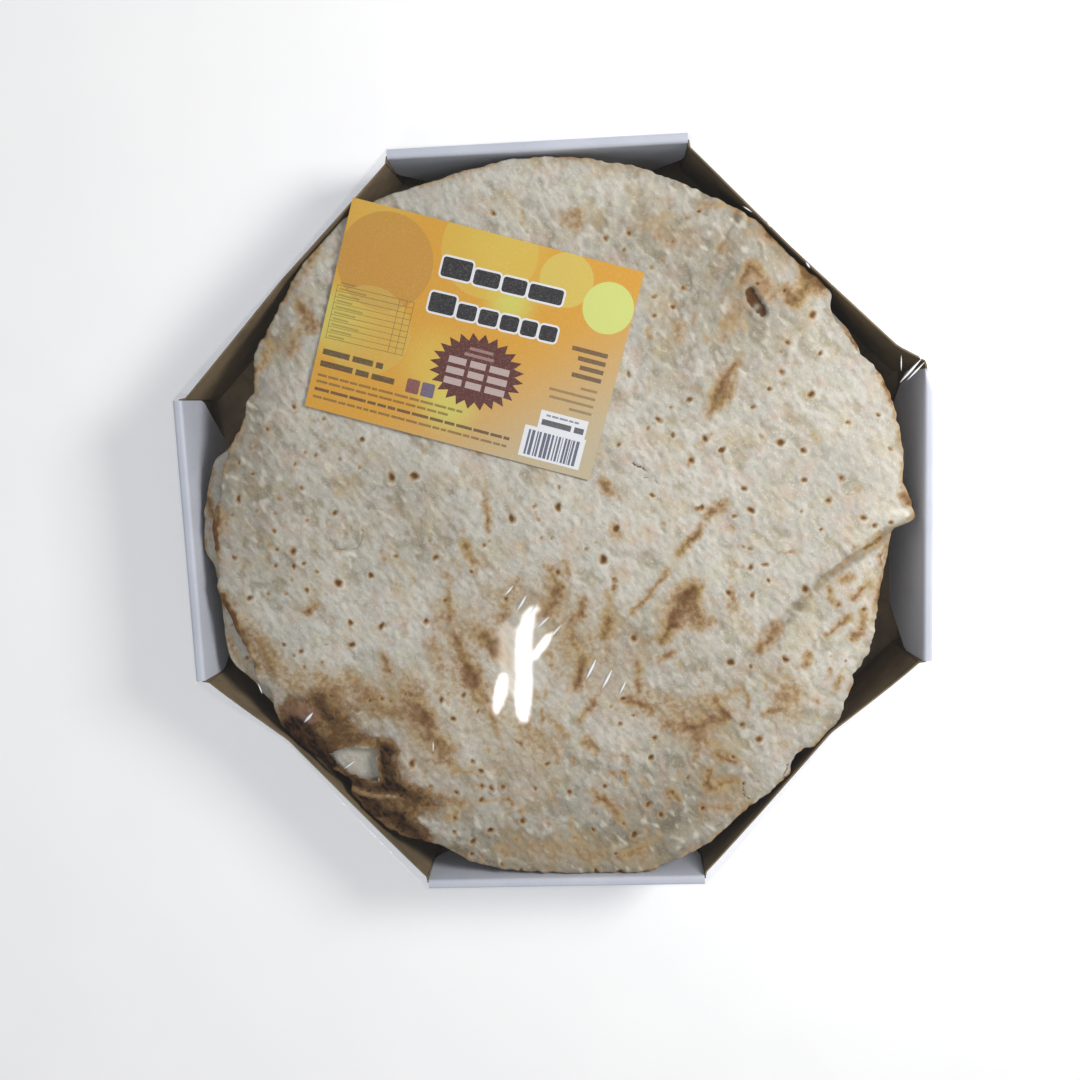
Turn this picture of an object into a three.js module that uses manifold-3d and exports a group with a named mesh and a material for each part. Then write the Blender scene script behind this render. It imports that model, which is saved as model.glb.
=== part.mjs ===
// A sealed shop pack of large round naan breads: an eight-sided card tray with a stack of breads,
// a paper label card lying on the top bread, and clear film wrapped round it all.
// Millimetres, +Z up. The origin is the middle of the underside, and +X is the right of the shown side.

import * as THREE from 'three';
import * as BufferGeometryUtils from 'three/addons/utils/BufferGeometryUtils.js';
import Module from 'manifold-3d';

const wasm = await Module();
wasm.setup();

// Driving dimensions of the tray
const ACROSS_WALLS = 380; // over two facing straight walls
const WALL_LENGTH = 146; // one straight wall, along its rim
const TRAY_TOP = 50; // rim of the straight walls above the surface the pack lies on
const DIAGONAL_TOP = 49; // rim of the slanting walls, one card lower
const CARD = 0.8; // thickness of the tray's card
const ROLL_WIDTH = 5; // width of the rolled-over rim
const FLAP_LEAN = 3.5; // how far a rolled-over flap leans in at its foot
const FLAP_CHAMFER = 22; // cut-off corner at each end of a flap, along the wall and up it
const DIAGONAL_OFFSET = 182; // slanting wall's outer face from the pack's axis, at its ends
const TAB_LENGTH = 16; // end of a slanting wall, caught inside the rolled-over wall
const TAB_INSET = 1.9; // that end's outer face from the straight wall's outer face

// Driving dimensions of the breads
const BREAD_COUNT = 6;
const BREAD_RADIUS = 171; // mean radius of a bread lower in the stack
const BREAD_STEP = 8; // one bread and the gap above it
const TOP_CROWN = 50; // top bread's upper face in its middle
const EDGE_DROP = 3.6; // how far that face sinks towards its edge
const EDGE_BAND = 34; // width of the stretch that sinks
const EDGE_THICKNESS = 3.4; // bread at its rounded edge
const FOLD_STEP = 3.2; // height of the pleat where it meets the edge

// Driving dimensions of the label and the film
const LABEL_WIDTH = 148;
const LABEL_DEPTH = 105;
const LABEL_CARD = 0.4;
const LABEL_UNDERSIDE = 51.2;
const LABEL_CENTRE = [-35.5, 96.4];
const LABEL_TURN = THREE.MathUtils.degToRad(-16.9);
const LABEL_FLAT_RADIUS = 118; // within this distance of the axis the label lies level
const LABEL_DROP = 1.8; // how far its outermost corner bends down
const FILM = 0.3;
const FILM_CROWN = 2.0; // film in the middle above film at the rim
const FILM_SEAM = [200, 0.8]; // lap seam under the pack, length and width
const FILM_SEAM_Y = 70;
const FILM_STEPS = 8; // faces along each of the film's eight sides
const FILM_RINGS = [0.3, 0.6, 0.76, 0.86, 0.93, 0.975]; // rings of its top, as shares of the way out
const FILM_EASE = 0.4; // rounding where it turns over the rim and under the foot

const GAP = 0.3; // clearance between pieces that touch
const TRAY_FOOT = FILM + GAP;
const HALF_ACROSS = ACROSS_WALLS / 2;
const HALF_WALL = WALL_LENGTH / 2;
const DIAGONAL_HALF = 77; // half of a slanting wall, along it
const DIAGONAL_STEPS = 12;
const RIGHT_ANGLE = Math.PI / 2;

// Slanting walls: the direction each faces, how far the film has pulled it in, and where along it
const DIAGONALS = [
  { turn: 45, bow: 1.2, at: 10 },
  { turn: 135, bow: -1.8, at: 0 },
  { turn: 225, bow: 5.4, at: -26 },
  { turn: 315, bow: 6.2, at: 21 },
];

// Outlines of the two breads that show: [angle in degrees, radius]
const TOP_OUTLINE = [
  [1, 181.5], [5, 178], [10, 177.5], [19, 181], [24, 179], [29, 175.5], [35, 174.5], [39, 179.5],
  [44, 177.5], [52, 179.5], [64, 181], [78, 183], [92, 183], [106, 182], [120, 186], [129, 183],
  [134, 180], [141, 176], [147, 175], [152, 169.5], [163, 169.7], [167, 173], [171, 172], [177, 175.5],
  [190, 176], [199, 174.5], [204, 172.5], [212, 176.5], [222, 176], [229, 173], [236, 180.5],
  [243, 184.5], [251, 177.5], [258, 183.8], [270, 184], [282, 188.5], [288, 187], [294, 185],
  [301, 179.5], [308, 176.5], [313, 173], [320, 175.5], [329, 172], [338, 172.5], [344, 170],
  [352, 168], [356, 170], [359, 176],
];
const SECOND_OUTLINE = [
  [0, 172], [12, 170], [26, 174], [32, 177], [38, 175], [52, 172], [70, 173], [90, 174], [112, 172],
  [132, 171], [150, 167], [162, 168], [167, 176], [173, 178], [178, 179.5], [184, 175.5], [190, 175],
  [197, 180], [202, 180], [208, 175.5], [222, 172], [234, 176], [246, 176], [262, 178], [280, 179],
  [296, 178], [310, 171], [326, 169], [340, 169], [352, 171],
];

// Torn hole in the top bread that shows the bread below
const TORN_HOLE = [
  [-124, -116], [-116, -112], [-107, -111.5], [-95, -113], [-97.5, -118], [-96, -126], [-97, -130.5],
  [-104, -130], [-112.5, -127.5], [-118.5, -122],
];

// The pleat's line across the top bread, from the pointed tip inwards
const PLEAT = [
  [184, -1], [171, -4.8], [157, -13], [146.5, -19], [134, -28.5], [119, -46.5], [104, -60],
].map(([x, y]) => new THREE.Vector3(x, y, 0));

const CARD_WHITE = new THREE.MeshStandardMaterial({ color: 0xd9dce4, roughness: 0.6, metalness: 0 });
const BREAD_CRUST = new THREE.MeshStandardMaterial({ color: 0xcfc4ae, roughness: 0.85, metalness: 0 });
const LABEL_PRINT = new THREE.MeshStandardMaterial({ color: 0xdda63c, roughness: 0.5, metalness: 0 });
const FILM_CLEAR = new THREE.MeshStandardMaterial({
  color: 0xf4f7fa,
  roughness: 0.08,
  metalness: 0,
  transparent: true,
  opacity: 0.25,
});

const polar = (degrees, radius) => {
  const angle = THREE.MathUtils.degToRad(degrees);
  return [radius * Math.cos(angle), radius * Math.sin(angle)];
};

// Solids and how they join

function solidFrom(geometry) {
  const bare = geometry.clone();
  bare.deleteAttribute('normal');
  bare.deleteAttribute('uv');
  const merged = BufferGeometryUtils.mergeVertices(bare, 1e-4);
  return new wasm.Manifold(new wasm.Mesh({
    numProp: 3,
    vertProperties: new Float32Array(merged.attributes.position.array),
    triVerts: new Uint32Array(merged.index.array),
  }));
}

function geometryFrom(solid) {
  const mesh = solid.getMesh();
  const geometry = new THREE.BufferGeometry();
  geometry.setAttribute('position', new THREE.BufferAttribute(mesh.vertProperties, 3));
  geometry.setIndex(new THREE.BufferAttribute(mesh.triVerts, 1));
  geometry.computeVertexNormals();
  return geometry;
}

// A prism that stands on the plane z = base
function prism(points, base, height) {
  const shape = new THREE.Shape(points.map(([x, y]) => new THREE.Vector2(x, y)));
  const geometry = new THREE.ExtrudeGeometry(shape, { depth: height, bevelEnabled: false });
  geometry.translate(0, 0, base);
  return geometry;
}

// A closed body from rings of points round the Z axis, top ring first, with a point at each end
function bodyFromRings(top, rings, bottom) {
  const count = rings[0].length;
  const positions = [...top];
  for (const ring of rings) {
    for (const point of ring) positions.push(...point);
  }
  positions.push(...bottom);
  const last = rings.length * count + 1;
  const at = (ring, step) => 1 + ring * count + (step % count);
  const faces = [];
  for (let step = 0; step < count; step++) {
    faces.push(0, at(0, step), at(0, step + 1));
    for (let ring = 0; ring + 1 < rings.length; ring++) {
      const [a, b] = [at(ring, step), at(ring, step + 1)];
      const [c, d] = [at(ring + 1, step), at(ring + 1, step + 1)];
      faces.push(a, c, d, a, d, b);
    }
    faces.push(at(rings.length - 1, step), last, at(rings.length - 1, step + 1));
  }
  const geometry = new THREE.BufferGeometry();
  geometry.setAttribute('position', new THREE.Float32BufferAttribute(positions, 3));
  geometry.setIndex(faces);
  geometry.computeVertexNormals();
  return geometry;
}

// The tray

// How far a slanting wall's rim has been drawn in at a place along it
function pulledIn(place, depth, at) {
  const reach = place < at ? at + DIAGONAL_HALF : DIAGONAL_HALF - at;
  const share = Math.max(0, 1 - Math.abs(place - at) / reach);
  return depth * share ** 1.2;
}

// Outer face of a slanting wall in plan, at a share of its height: straight at its foot, bowed at its rim
function diagonalLine(wall, heightShare) {
  const facing = THREE.MathUtils.degToRad(wall.turn);
  const line = [];
  for (let step = 0; step <= DIAGONAL_STEPS; step++) {
    const place = DIAGONAL_HALF * ((2 * step) / DIAGONAL_STEPS - 1);
    const away = DIAGONAL_OFFSET - heightShare * pulledIn(place, wall.bow, wall.at);
    line.push([
      away * Math.cos(facing) - place * Math.sin(facing),
      away * Math.sin(facing) + place * Math.cos(facing),
    ]);
  }
  return line;
}

// The same line, moved in by the card's thickness
function innerLine(line) {
  return line.map(([x, y], i) => {
    const before = line[Math.max(i - 1, 0)];
    const after = line[Math.min(i + 1, line.length - 1)];
    const along = new THREE.Vector2(after[0] - before[0], after[1] - before[1]).normalize();
    return [x - along.y * CARD, y + along.x * CARD];
  });
}

// A standing panel of card between the line of its foot and the line of its rim
function cardPanel(foot, rim, base, top) {
  const [footInner, rimInner] = [foot, rim].map(innerLine);
  const positions = [];
  foot.forEach((_, i) => {
    positions.push(...foot[i], base, ...rim[i], top, ...rimInner[i], top, ...footInner[i], base);
  });
  const faces = [0, 1, 2, 0, 2, 3];
  for (let i = 0; i + 1 < foot.length; i++) {
    for (let side = 0; side < 4; side++) {
      const [a, b] = [4 * i + side, 4 * i + ((side + 1) % 4)];
      faces.push(a, a + 4, b + 4, a, b + 4, b);
    }
  }
  const end = 4 * (foot.length - 1);
  faces.push(end, end + 2, end + 1, end, end + 3, end + 2);
  const geometry = new THREE.BufferGeometry();
  geometry.setAttribute('position', new THREE.Float32BufferAttribute(positions, 3));
  geometry.setIndex(faces);
  return geometry;
}

function turned([x, y], degrees) {
  const turn = THREE.MathUtils.degToRad(degrees);
  return [x * Math.cos(turn) - y * Math.sin(turn), x * Math.sin(turn) + y * Math.cos(turn)];
}

// A slanting wall runs anticlockwise, with its ends caught inside the two straight walls beside it
function diagonalWall(wall) {
  const [tabFace, tabEnd] = [HALF_ACROSS - TAB_INSET, HALF_WALL - TAB_LENGTH];
  const first = turned([tabFace, tabEnd], wall.turn - 45);
  const last = turned([tabEnd, tabFace], wall.turn - 45);
  const [foot, rim] = [0, 1].map((share) => [first, ...diagonalLine(wall, share), last]);
  return cardPanel(foot, rim, TRAY_FOOT, DIAGONAL_TOP);
}

// One straight wall in section: outer panel, rolled rim and a flap that leans back down to the floor
function straightWall(turn) {
  const outer = HALF_ACROSS;
  const inner = HALF_ACROSS - ROLL_WIDTH;
  const foot = inner - FLAP_LEAN;
  const section = [
    [outer, TRAY_FOOT], [outer, TRAY_TOP - CARD], [outer - CARD, TRAY_TOP], [inner + CARD, TRAY_TOP],
    [inner, TRAY_TOP - CARD], [foot, TRAY_FOOT], [foot + CARD, TRAY_FOOT],
    [inner + CARD, TRAY_TOP - 2 * CARD], [outer - CARD, TRAY_TOP - 2 * CARD], [outer - CARD, TRAY_FOOT],
  ];
  const profile = prism(section, -HALF_WALL, WALL_LENGTH);
  profile.rotateX(RIGHT_ANGLE);
  let solid = solidFrom(profile);
  for (const side of [-1, 1]) {
    const corner = [
      [HALF_WALL - FLAP_CHAMFER, TRAY_FOOT - 1], [HALF_WALL + 1, TRAY_FOOT - 1],
      [HALF_WALL + 1, TRAY_FOOT + FLAP_CHAMFER + 3], [HALF_WALL, TRAY_FOOT + FLAP_CHAMFER + 2],
    ].map(([along, up]) => [side * along, up]);
    const points = side > 0 ? corner : corner.reverse();
    const cutter = prism(points, foot - 1, outer - CARD - foot);
    cutter.applyMatrix4(new THREE.Matrix4().set(0, 0, 1, 0, 1, 0, 0, 0, 0, 1, 0, 0, 0, 0, 0, 1));
    solid = solid.subtract(solidFrom(cutter));
  }
  return solid.rotate([0, 0, turn]);
}

function trayFloor() {
  const corners = [];
  for (const wall of DIAGONALS) {
    const line = diagonalLine(wall, 0);
    corners.push(line[0], line[DIAGONAL_STEPS]);
    for (const side of [-1, 1]) corners.push(turned([HALF_ACROSS, side * HALF_WALL], wall.turn + 45));
  }
  return prism(corners, TRAY_FOOT, CARD);
}

function trayGeometry() {
  let solid = solidFrom(trayFloor());
  for (const wall of DIAGONALS) {
    solid = solid.add(solidFrom(diagonalWall(wall)));
    solid = solid.add(straightWall(wall.turn - 45));
  }
  return geometryFrom(solid);
}

// The breads

// Radius at an angle on a closed smooth curve through [angle, radius] pairs
function radiusOn(outline, degrees) {
  const count = outline.length;
  const wrapped = ((degrees % 360) + 360) % 360;
  let next = outline.findIndex(([angle]) => angle > wrapped);
  if (next < 0) next = count;
  const pick = (i) => {
    const lap = Math.floor(i / count);
    const [angle, radius] = outline[i - lap * count];
    return [angle + lap * 360, radius];
  };
  const [a, b, c, d] = [next - 2, next - 1, next, next + 1].map(pick);
  const share = (wrapped - b[0]) / (c[0] - b[0]);
  const slopeIn = ((c[1] - a[1]) / (c[0] - a[0])) * (c[0] - b[0]);
  const slopeOut = ((d[1] - b[1]) / (d[0] - b[0])) * (c[0] - b[0]);
  const s2 = share * share;
  const s3 = s2 * share;
  return (2 * s3 - 3 * s2 + 1) * b[1] + (s3 - 2 * s2 + share) * slopeIn
    + (3 * s2 - 2 * s3) * c[1] + (s3 - s2) * slopeOut;
}

// Largest radius that stays clear of the tray's walls at a height
function roomInTray(degrees, height) {
  const lean = FLAP_LEAN * Math.max(0, 1 - height / TRAY_TOP);
  const straight = HALF_ACROSS - ROLL_WIDTH - lean - 2 * GAP;
  const [x, y] = polar(degrees, 1);
  let room = straight / Math.max(Math.abs(x), Math.abs(y));
  for (const wall of DIAGONALS) {
    const aside = THREE.MathUtils.degToRad(degrees - wall.turn);
    if (Math.cos(aside) < 0.7) continue;
    const place = DIAGONAL_OFFSET * Math.tan(aside);
    const bow = (height / TRAY_TOP) * pulledIn(place, wall.bow, wall.at);
    const away = DIAGONAL_OFFSET - bow - CARD - 2 * GAP;
    room = Math.min(room, away / Math.cos(aside));
  }
  return room;
}

// Uneven edge of a bread that is hidden in the stack
function hiddenRadius(degrees, layer) {
  const angle = THREE.MathUtils.degToRad(degrees);
  return BREAD_RADIUS
    + 2.6 * Math.sin(2 * angle + 1.9 * layer)
    + 1.7 * Math.sin(5 * angle + 2.7 * layer)
    + 1.1 * Math.sin(9 * angle + 4.1 * layer);
}

// Low swells of the top bread
function swell(x, y) {
  return 0.35 * Math.sin(x / 31 + 0.6) * Math.cos(y / 37 - 0.4) + 0.25 * Math.sin((x + y) / 23 + 1.1);
}

// Height lost beyond the pleat: full at the edge, nothing at the pleat's inner end
function pleatDrop(x, y) {
  const here = new THREE.Vector3(x, y, 0);
  let drop = 0;
  let nearest = Infinity;
  for (let i = 0; i + 1 < PLEAT.length; i++) {
    const line = new THREE.Line3(PLEAT[i], PLEAT[i + 1]);
    const share = line.closestPointToPointParameter(here, true);
    const foot = line.at(share, new THREE.Vector3());
    const distance = foot.distanceTo(here);
    if (distance >= nearest) continue;
    nearest = distance;
    const along = line.delta(new THREE.Vector3());
    const side = (here.x - foot.x) * along.y - (here.y - foot.y) * along.x;
    const fade = 1 - (i + share) / (PLEAT.length - 1);
    const reach = THREE.MathUtils.smoothstep(-Math.sign(side) * distance, -1, 5);
    const recover = 1 - THREE.MathUtils.smoothstep(distance, 25, 75);
    drop = FOLD_STEP * fade * reach * recover;
  }
  return drop;
}

function topFace(x, y, share, radius) {
  const fromEdge = radius * (1 - share);
  const sink = EDGE_DROP * Math.max(0, 1 - fromEdge / EDGE_BAND) ** 2;
  return TOP_CROWN + swell(x, y) - sink - pleatDrop(x, y);
}

function topBreadGeometry() {
  const sectors = 90;
  const shares = [0.14, 0.28, 0.4, 0.5, 0.59, 0.67, 0.74, 0.8, 0.85, 0.9, 0.94, 0.97, 0.99];
  const underside = TRAY_FOOT + CARD + GAP + (BREAD_COUNT - 1) * BREAD_STEP;
  const radiusAt = (degrees) => Math.min(radiusOn(TOP_OUTLINE, degrees), roomInTray(degrees, 44));
  const angles = Array.from({ length: sectors }, (_, i) => (i * 360) / sectors);
  const ring = (share, height) => angles.map((degrees) => {
    const radius = radiusAt(degrees);
    const [x, y] = polar(degrees, radius * share);
    return [x, y, height(x, y, share, radius)];
  });
  const edgeMiddle = (x, y, share, radius) => topFace(x, y, share, radius) - EDGE_THICKNESS / 2;
  const edgeFoot = (x, y, share, radius) => topFace(x, y, share, radius) - EDGE_THICKNESS;
  const rings = shares.map((share) => ring(share, topFace));
  rings.push(ring(1, edgeMiddle));
  rings.push(ring(0.985, edgeFoot));
  for (const share of [0.93, 0.6, 0.3]) rings.push(ring(share, () => underside));
  const body = bodyFromRings([0, 0, topFace(0, 0, 0, BREAD_RADIUS)], rings, [0, 0, underside]);
  const hole = prism(TORN_HOLE, underside - 1, 2 * BREAD_STEP);
  return geometryFrom(solidFrom(body).subtract(solidFrom(hole)));
}

function lowerBreadGeometry(layer) {
  const sectors = 60;
  const underside = TRAY_FOOT + CARD + GAP + layer * BREAD_STEP;
  const upper = underside + BREAD_STEP - GAP;
  const second = layer === BREAD_COUNT - 2;
  const radiusAt = (degrees) => Math.min(
    second ? radiusOn(SECOND_OUTLINE, degrees) : hiddenRadius(degrees, layer),
    roomInTray(degrees, underside),
  );
  const ring = (share, height) => Array.from({ length: sectors }, (_, i) => {
    const degrees = (i * 360) / sectors;
    return [...polar(degrees, radiusAt(degrees) * share), height];
  });
  const middle = (underside + upper) / 2;
  const rings = [
    ring(0.5, upper), ring(0.93, upper), ring(0.985, middle + EDGE_THICKNESS / 2),
    ring(1, middle), ring(0.985, middle - EDGE_THICKNESS / 2), ring(0.93, underside), ring(0.5, underside),
  ];
  return bodyFromRings([0, 0, upper], rings, [0, 0, underside]);
}

// The label card

function labelUnderside(x, y) {
  const beyond = Math.max(0, Math.hypot(x, y) - LABEL_FLAT_RADIUS);
  return LABEL_UNDERSIDE - LABEL_DROP * (beyond / (HALF_ACROSS - LABEL_FLAT_RADIUS)) ** 2;
}

function labelGeometry() {
  const geometry = new THREE.BoxGeometry(LABEL_WIDTH, LABEL_DEPTH, LABEL_CARD, 14, 10, 1);
  geometry.translate(0, 0, LABEL_CARD / 2);
  geometry.rotateZ(LABEL_TURN);
  geometry.translate(...LABEL_CENTRE, 0);
  const position = geometry.attributes.position;
  for (let i = 0; i < position.count; i++) {
    position.setZ(i, position.getZ(i) + labelUnderside(position.getX(i), position.getY(i)));
  }
  return geometryFrom(solidFrom(geometry));
}

// The film

// Plan of the film at a share of its height: straight from corner to corner under the pack, and drawn in
// against the slanting walls at the rim
function filmPlan(away, heightShare) {
  const points = [];
  const corner = (HALF_ACROSS + HALF_WALL) / Math.SQRT2;
  const half = (HALF_ACROSS - HALF_WALL) / Math.SQRT2;
  for (const wall of DIAGONALS) {
    const tight = heightShare * (corner - DIAGONAL_OFFSET - 2 * GAP + wall.bow);
    for (let step = 0; step <= FILM_STEPS; step++) {
      const place = half * ((2 * step) / FILM_STEPS - 1);
      const distance = corner - pulledIn(place, tight, wall.at) + away;
      points.push(turned([distance, place], wall.turn));
    }
    for (let step = 1; step < FILM_STEPS; step++) {
      const along = HALF_WALL * ((2 * step) / FILM_STEPS - 1);
      points.push(turned([HALF_ACROSS + away, along], wall.turn + 45));
    }
  }
  return points;
}

function filmSurface(away) {
  const rim = TRAY_TOP + away;
  const foot = TRAY_FOOT - away;
  const [footPlan, rimPlan] = [0, 1].map((share) => filmPlan(away, share));
  const ring = (plan, share, height) => plan.map(([x, y]) => [x * share, y * share, height]);
  const rings = FILM_RINGS.map((share) => ring(rimPlan, share, rim + FILM_CROWN * (1 - share ** 8)));
  rings.push(ring(rimPlan, 1 - FILM_EASE / HALF_ACROSS, rim));
  rings.push(ring(rimPlan, 1, rim - FILM_EASE));
  rings.push(ring(footPlan, 1, foot + FILM_EASE));
  rings.push(ring(footPlan, 1 - FILM_EASE / HALF_ACROSS, foot));
  rings.push(ring(footPlan, 0.5, foot));
  return bodyFromRings([0, 0, rim + FILM_CROWN], rings, [0, 0, foot]);
}

function filmGeometry() {
  const shell = solidFrom(filmSurface(GAP + FILM)).subtract(solidFrom(filmSurface(GAP)));
  const [length, width] = FILM_SEAM;
  const seam = new THREE.BoxGeometry(length, width, 2 * FILM + GAP);
  seam.translate(0, FILM_SEAM_Y, 0);
  return geometryFrom(shell.subtract(solidFrom(seam)));
}

// The pack

function piece(name, geometry, material) {
  const mesh = new THREE.Mesh(geometry, material);
  mesh.name = name;
  return mesh;
}

const group = new THREE.Group();
group.name = 'naan_bread_pack';
group.add(piece('tray', trayGeometry(), CARD_WHITE));
for (let layer = 0; layer < BREAD_COUNT - 1; layer++) {
  group.add(piece(`naan_${layer + 1}`, lowerBreadGeometry(layer), BREAD_CRUST));
}
group.add(piece('naan_top', topBreadGeometry(), BREAD_CRUST));
group.add(piece('label_card', labelGeometry(), LABEL_PRINT));
group.add(piece('film', filmGeometry(), FILM_CLEAR));

export default group;
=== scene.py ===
import math
import random

import bpy
import numpy as np
from mathutils import Matrix, Vector, noise
from mathutils.geometry import delaunay_2d_cdt


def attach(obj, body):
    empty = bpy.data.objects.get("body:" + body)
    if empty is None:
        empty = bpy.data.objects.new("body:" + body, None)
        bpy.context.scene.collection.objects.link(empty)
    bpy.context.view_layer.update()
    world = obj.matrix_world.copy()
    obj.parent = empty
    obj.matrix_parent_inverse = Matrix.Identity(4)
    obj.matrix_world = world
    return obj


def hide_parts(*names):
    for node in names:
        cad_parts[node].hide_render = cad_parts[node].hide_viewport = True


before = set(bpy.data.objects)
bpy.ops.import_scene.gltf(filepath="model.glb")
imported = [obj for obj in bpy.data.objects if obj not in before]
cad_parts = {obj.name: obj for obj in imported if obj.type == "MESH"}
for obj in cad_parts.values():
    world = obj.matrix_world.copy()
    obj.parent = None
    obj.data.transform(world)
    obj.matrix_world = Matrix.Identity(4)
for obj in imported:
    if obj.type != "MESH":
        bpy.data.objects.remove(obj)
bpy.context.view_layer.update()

# Lengths are in millimetres up to the point where a mesh is made. Marks on the bread are given by their
# place in the photograph, in pixels of its 1080 x 1080 frame, and meet the face at these heights.
MM = 0.001
FACE_HEIGHT = 49.8
SECOND_FACE_HEIGHT = 41.0

# Camera of the photograph, solved from the corners of the tray's rim
IMAGE_SIZE = 1080
FOCAL_PIXELS = 1050
SENSOR = 36.0
CAMERA_PLACE = Vector((23.23, 62.18, 576.82))
CAMERA_FORWARD = Vector((-0.05504, -0.12551, -0.99056)).normalized()
CAMERA_UP = Vector((0.03467, 0.99123, -0.12752)).normalized()
CAMERA_RIGHT = CAMERA_FORWARD.cross(CAMERA_UP).normalized()

# Tray, as in the CAD source
HALF_ACROSS = 190.0
HALF_WALL = 73.0
TRAY_TOP = 50.0
DIAGONAL_TOP = 49.0
TRAY_FOOT = 0.6
CARD = 0.8
ROLL_WIDTH = 5.0
RIM_BEND = 1.9
WALL_COLUMNS = 41
TAB_PLACE = HALF_ACROSS - ROLL_WIDTH + 1.6
FLAP_LEAN = 3.5
FLAP_CHAMFER = 22.0
PINCH = 4.0
DIAGONAL_OFFSET = 182.0
DIAGONAL_HALF = 77.0
FLARE_START = 62.0
TAB_LENGTH = 16.0
DIAGONALS = (
    {"turn": 45, "bow": 1.2, "at": 10, "flare": 4.0},
    {"turn": 135, "bow": -1.8, "at": 0, "flare": 0.0},
    {"turn": 225, "bow": 5.4, "at": -26, "flare": 0.0},
    {"turn": 315, "bow": 6.2, "at": 21, "flare": 0.0},
)

# Breads: sizes as in the CAD source, and outlines a little finer, as angles in degrees and radii of edge
# points that were read in the photograph and carried through its camera
BREAD_COUNT = 6
BREAD_RADIUS = 171.0
BREAD_STEP = 8.0
TOP_CROWN = 50.0
EDGE_DROP = 3.6
EDGE_BAND = 34.0
EDGE_THICKNESS = 3.4
FOLD_STEP = 3.2
GAP = 0.3
FIRST_UNDERSIDE = TRAY_FOOT + CARD + GAP
TOP_OUTLINE = (
    (2.3, 180), (4.5, 178), (7, 177), (10, 179.2), (15, 179.8), (21, 180.4), (25, 179), (28.7, 174.5),
    (32.3, 174), (36, 174.8), (38.8, 180), (46, 178.3), (49, 179), (54, 181.4), (64, 181), (78, 183),
    (92, 183), (106, 182), (120, 186), (129, 183), (134, 180), (141, 176), (147, 175), (153, 167),
    (155, 168.5), (158.4, 167), (162, 169), (168, 172.3), (171.8, 171.7), (174.7, 174.8), (178, 175.7),
    (184.5, 174.6), (187.5, 177), (190.4, 177), (194, 174.4), (202, 173), (205.4, 174.7), (208, 172),
    (211.4, 175.8), (214, 177.2), (220, 175.8), (226, 173.5), (229.3, 173.2), (230.8, 177), (234, 180),
    (241, 183), (248, 180), (255, 184), (270, 184), (282, 188.5), (288, 187), (294, 185), (301, 179.5),
    (308, 177.5), (312, 177.2), (313.4, 173), (316.5, 172.5), (318, 175.3), (324, 177.6), (327, 174.8),
    (331, 173.4), (332.3, 170.8), (334, 172.6), (338, 173.2), (345, 169.8), (351, 168.8),
    (353.7, 167.2), (356, 170.2), (358.2, 172.5), (358.9, 177), (359.9, 181.4),
)
SECOND_OUTLINE = (
    (0, 172), (12, 170), (24, 174), (28, 177.4), (31, 177.6), (34.5, 176.8), (38, 174), (52, 172),
    (70, 173), (90, 174), (112, 172), (132, 171), (150, 167), (160, 168), (164, 173), (166.5, 179),
    (173, 181.5), (178, 182.8), (182, 182.8), (184, 179.6), (190.5, 179.6), (196, 183.2), (199, 185),
    (201.5, 184.4), (204, 181), (208, 178), (222, 172), (234, 176), (246, 176), (262, 178), (280, 179),
    (296, 178), (310, 171), (326, 169), (340, 169), (352, 171),
)
TORN_HOLE = (
    (-124, -116), (-116, -112), (-107, -111.5), (-95, -113), (-97.5, -118), (-96, -126), (-97, -130.5),
    (-104, -130), (-112.5, -127.5), (-118.5, -122),
)
PLEAT = ((184, -1), (171, -4.8), (157, -13), (146.5, -19), (134, -28.5), (119, -46.5), (104, -60))

# How finely the breads are meshed, how their grain runs and what room the film and the label leave
RIM_CORNERS = 1080
RIM_ROUNDING = 1.1
FACE_STEP = 1.08
UNDER_STEP = 6.0
GRID_REACH = 192
GRAIN_TURN = -52
FILM_ROOM = 0.45
LABEL_ROOM = 0.1

# Label, as in the CAD source
LABEL_SIZE = (148.0, 105.0)
LABEL_CARD = 0.4
LABEL_UNDERSIDE = 51.2
LABEL_CENTRE = (-35.5, 96.4)
LABEL_TURN = math.radians(-16.9)
LABEL_FLAT_RADIUS = 118.0
LABEL_DROP = 1.8

# Film, as in the CAD source
FILM = 0.3
FILM_CROWN = 2.0
FILM_INDEX = 1.38
FILM_STEP = 1.9
FILM_EASE = 0.4
CREASE_DEPTH = 0.35

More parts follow.
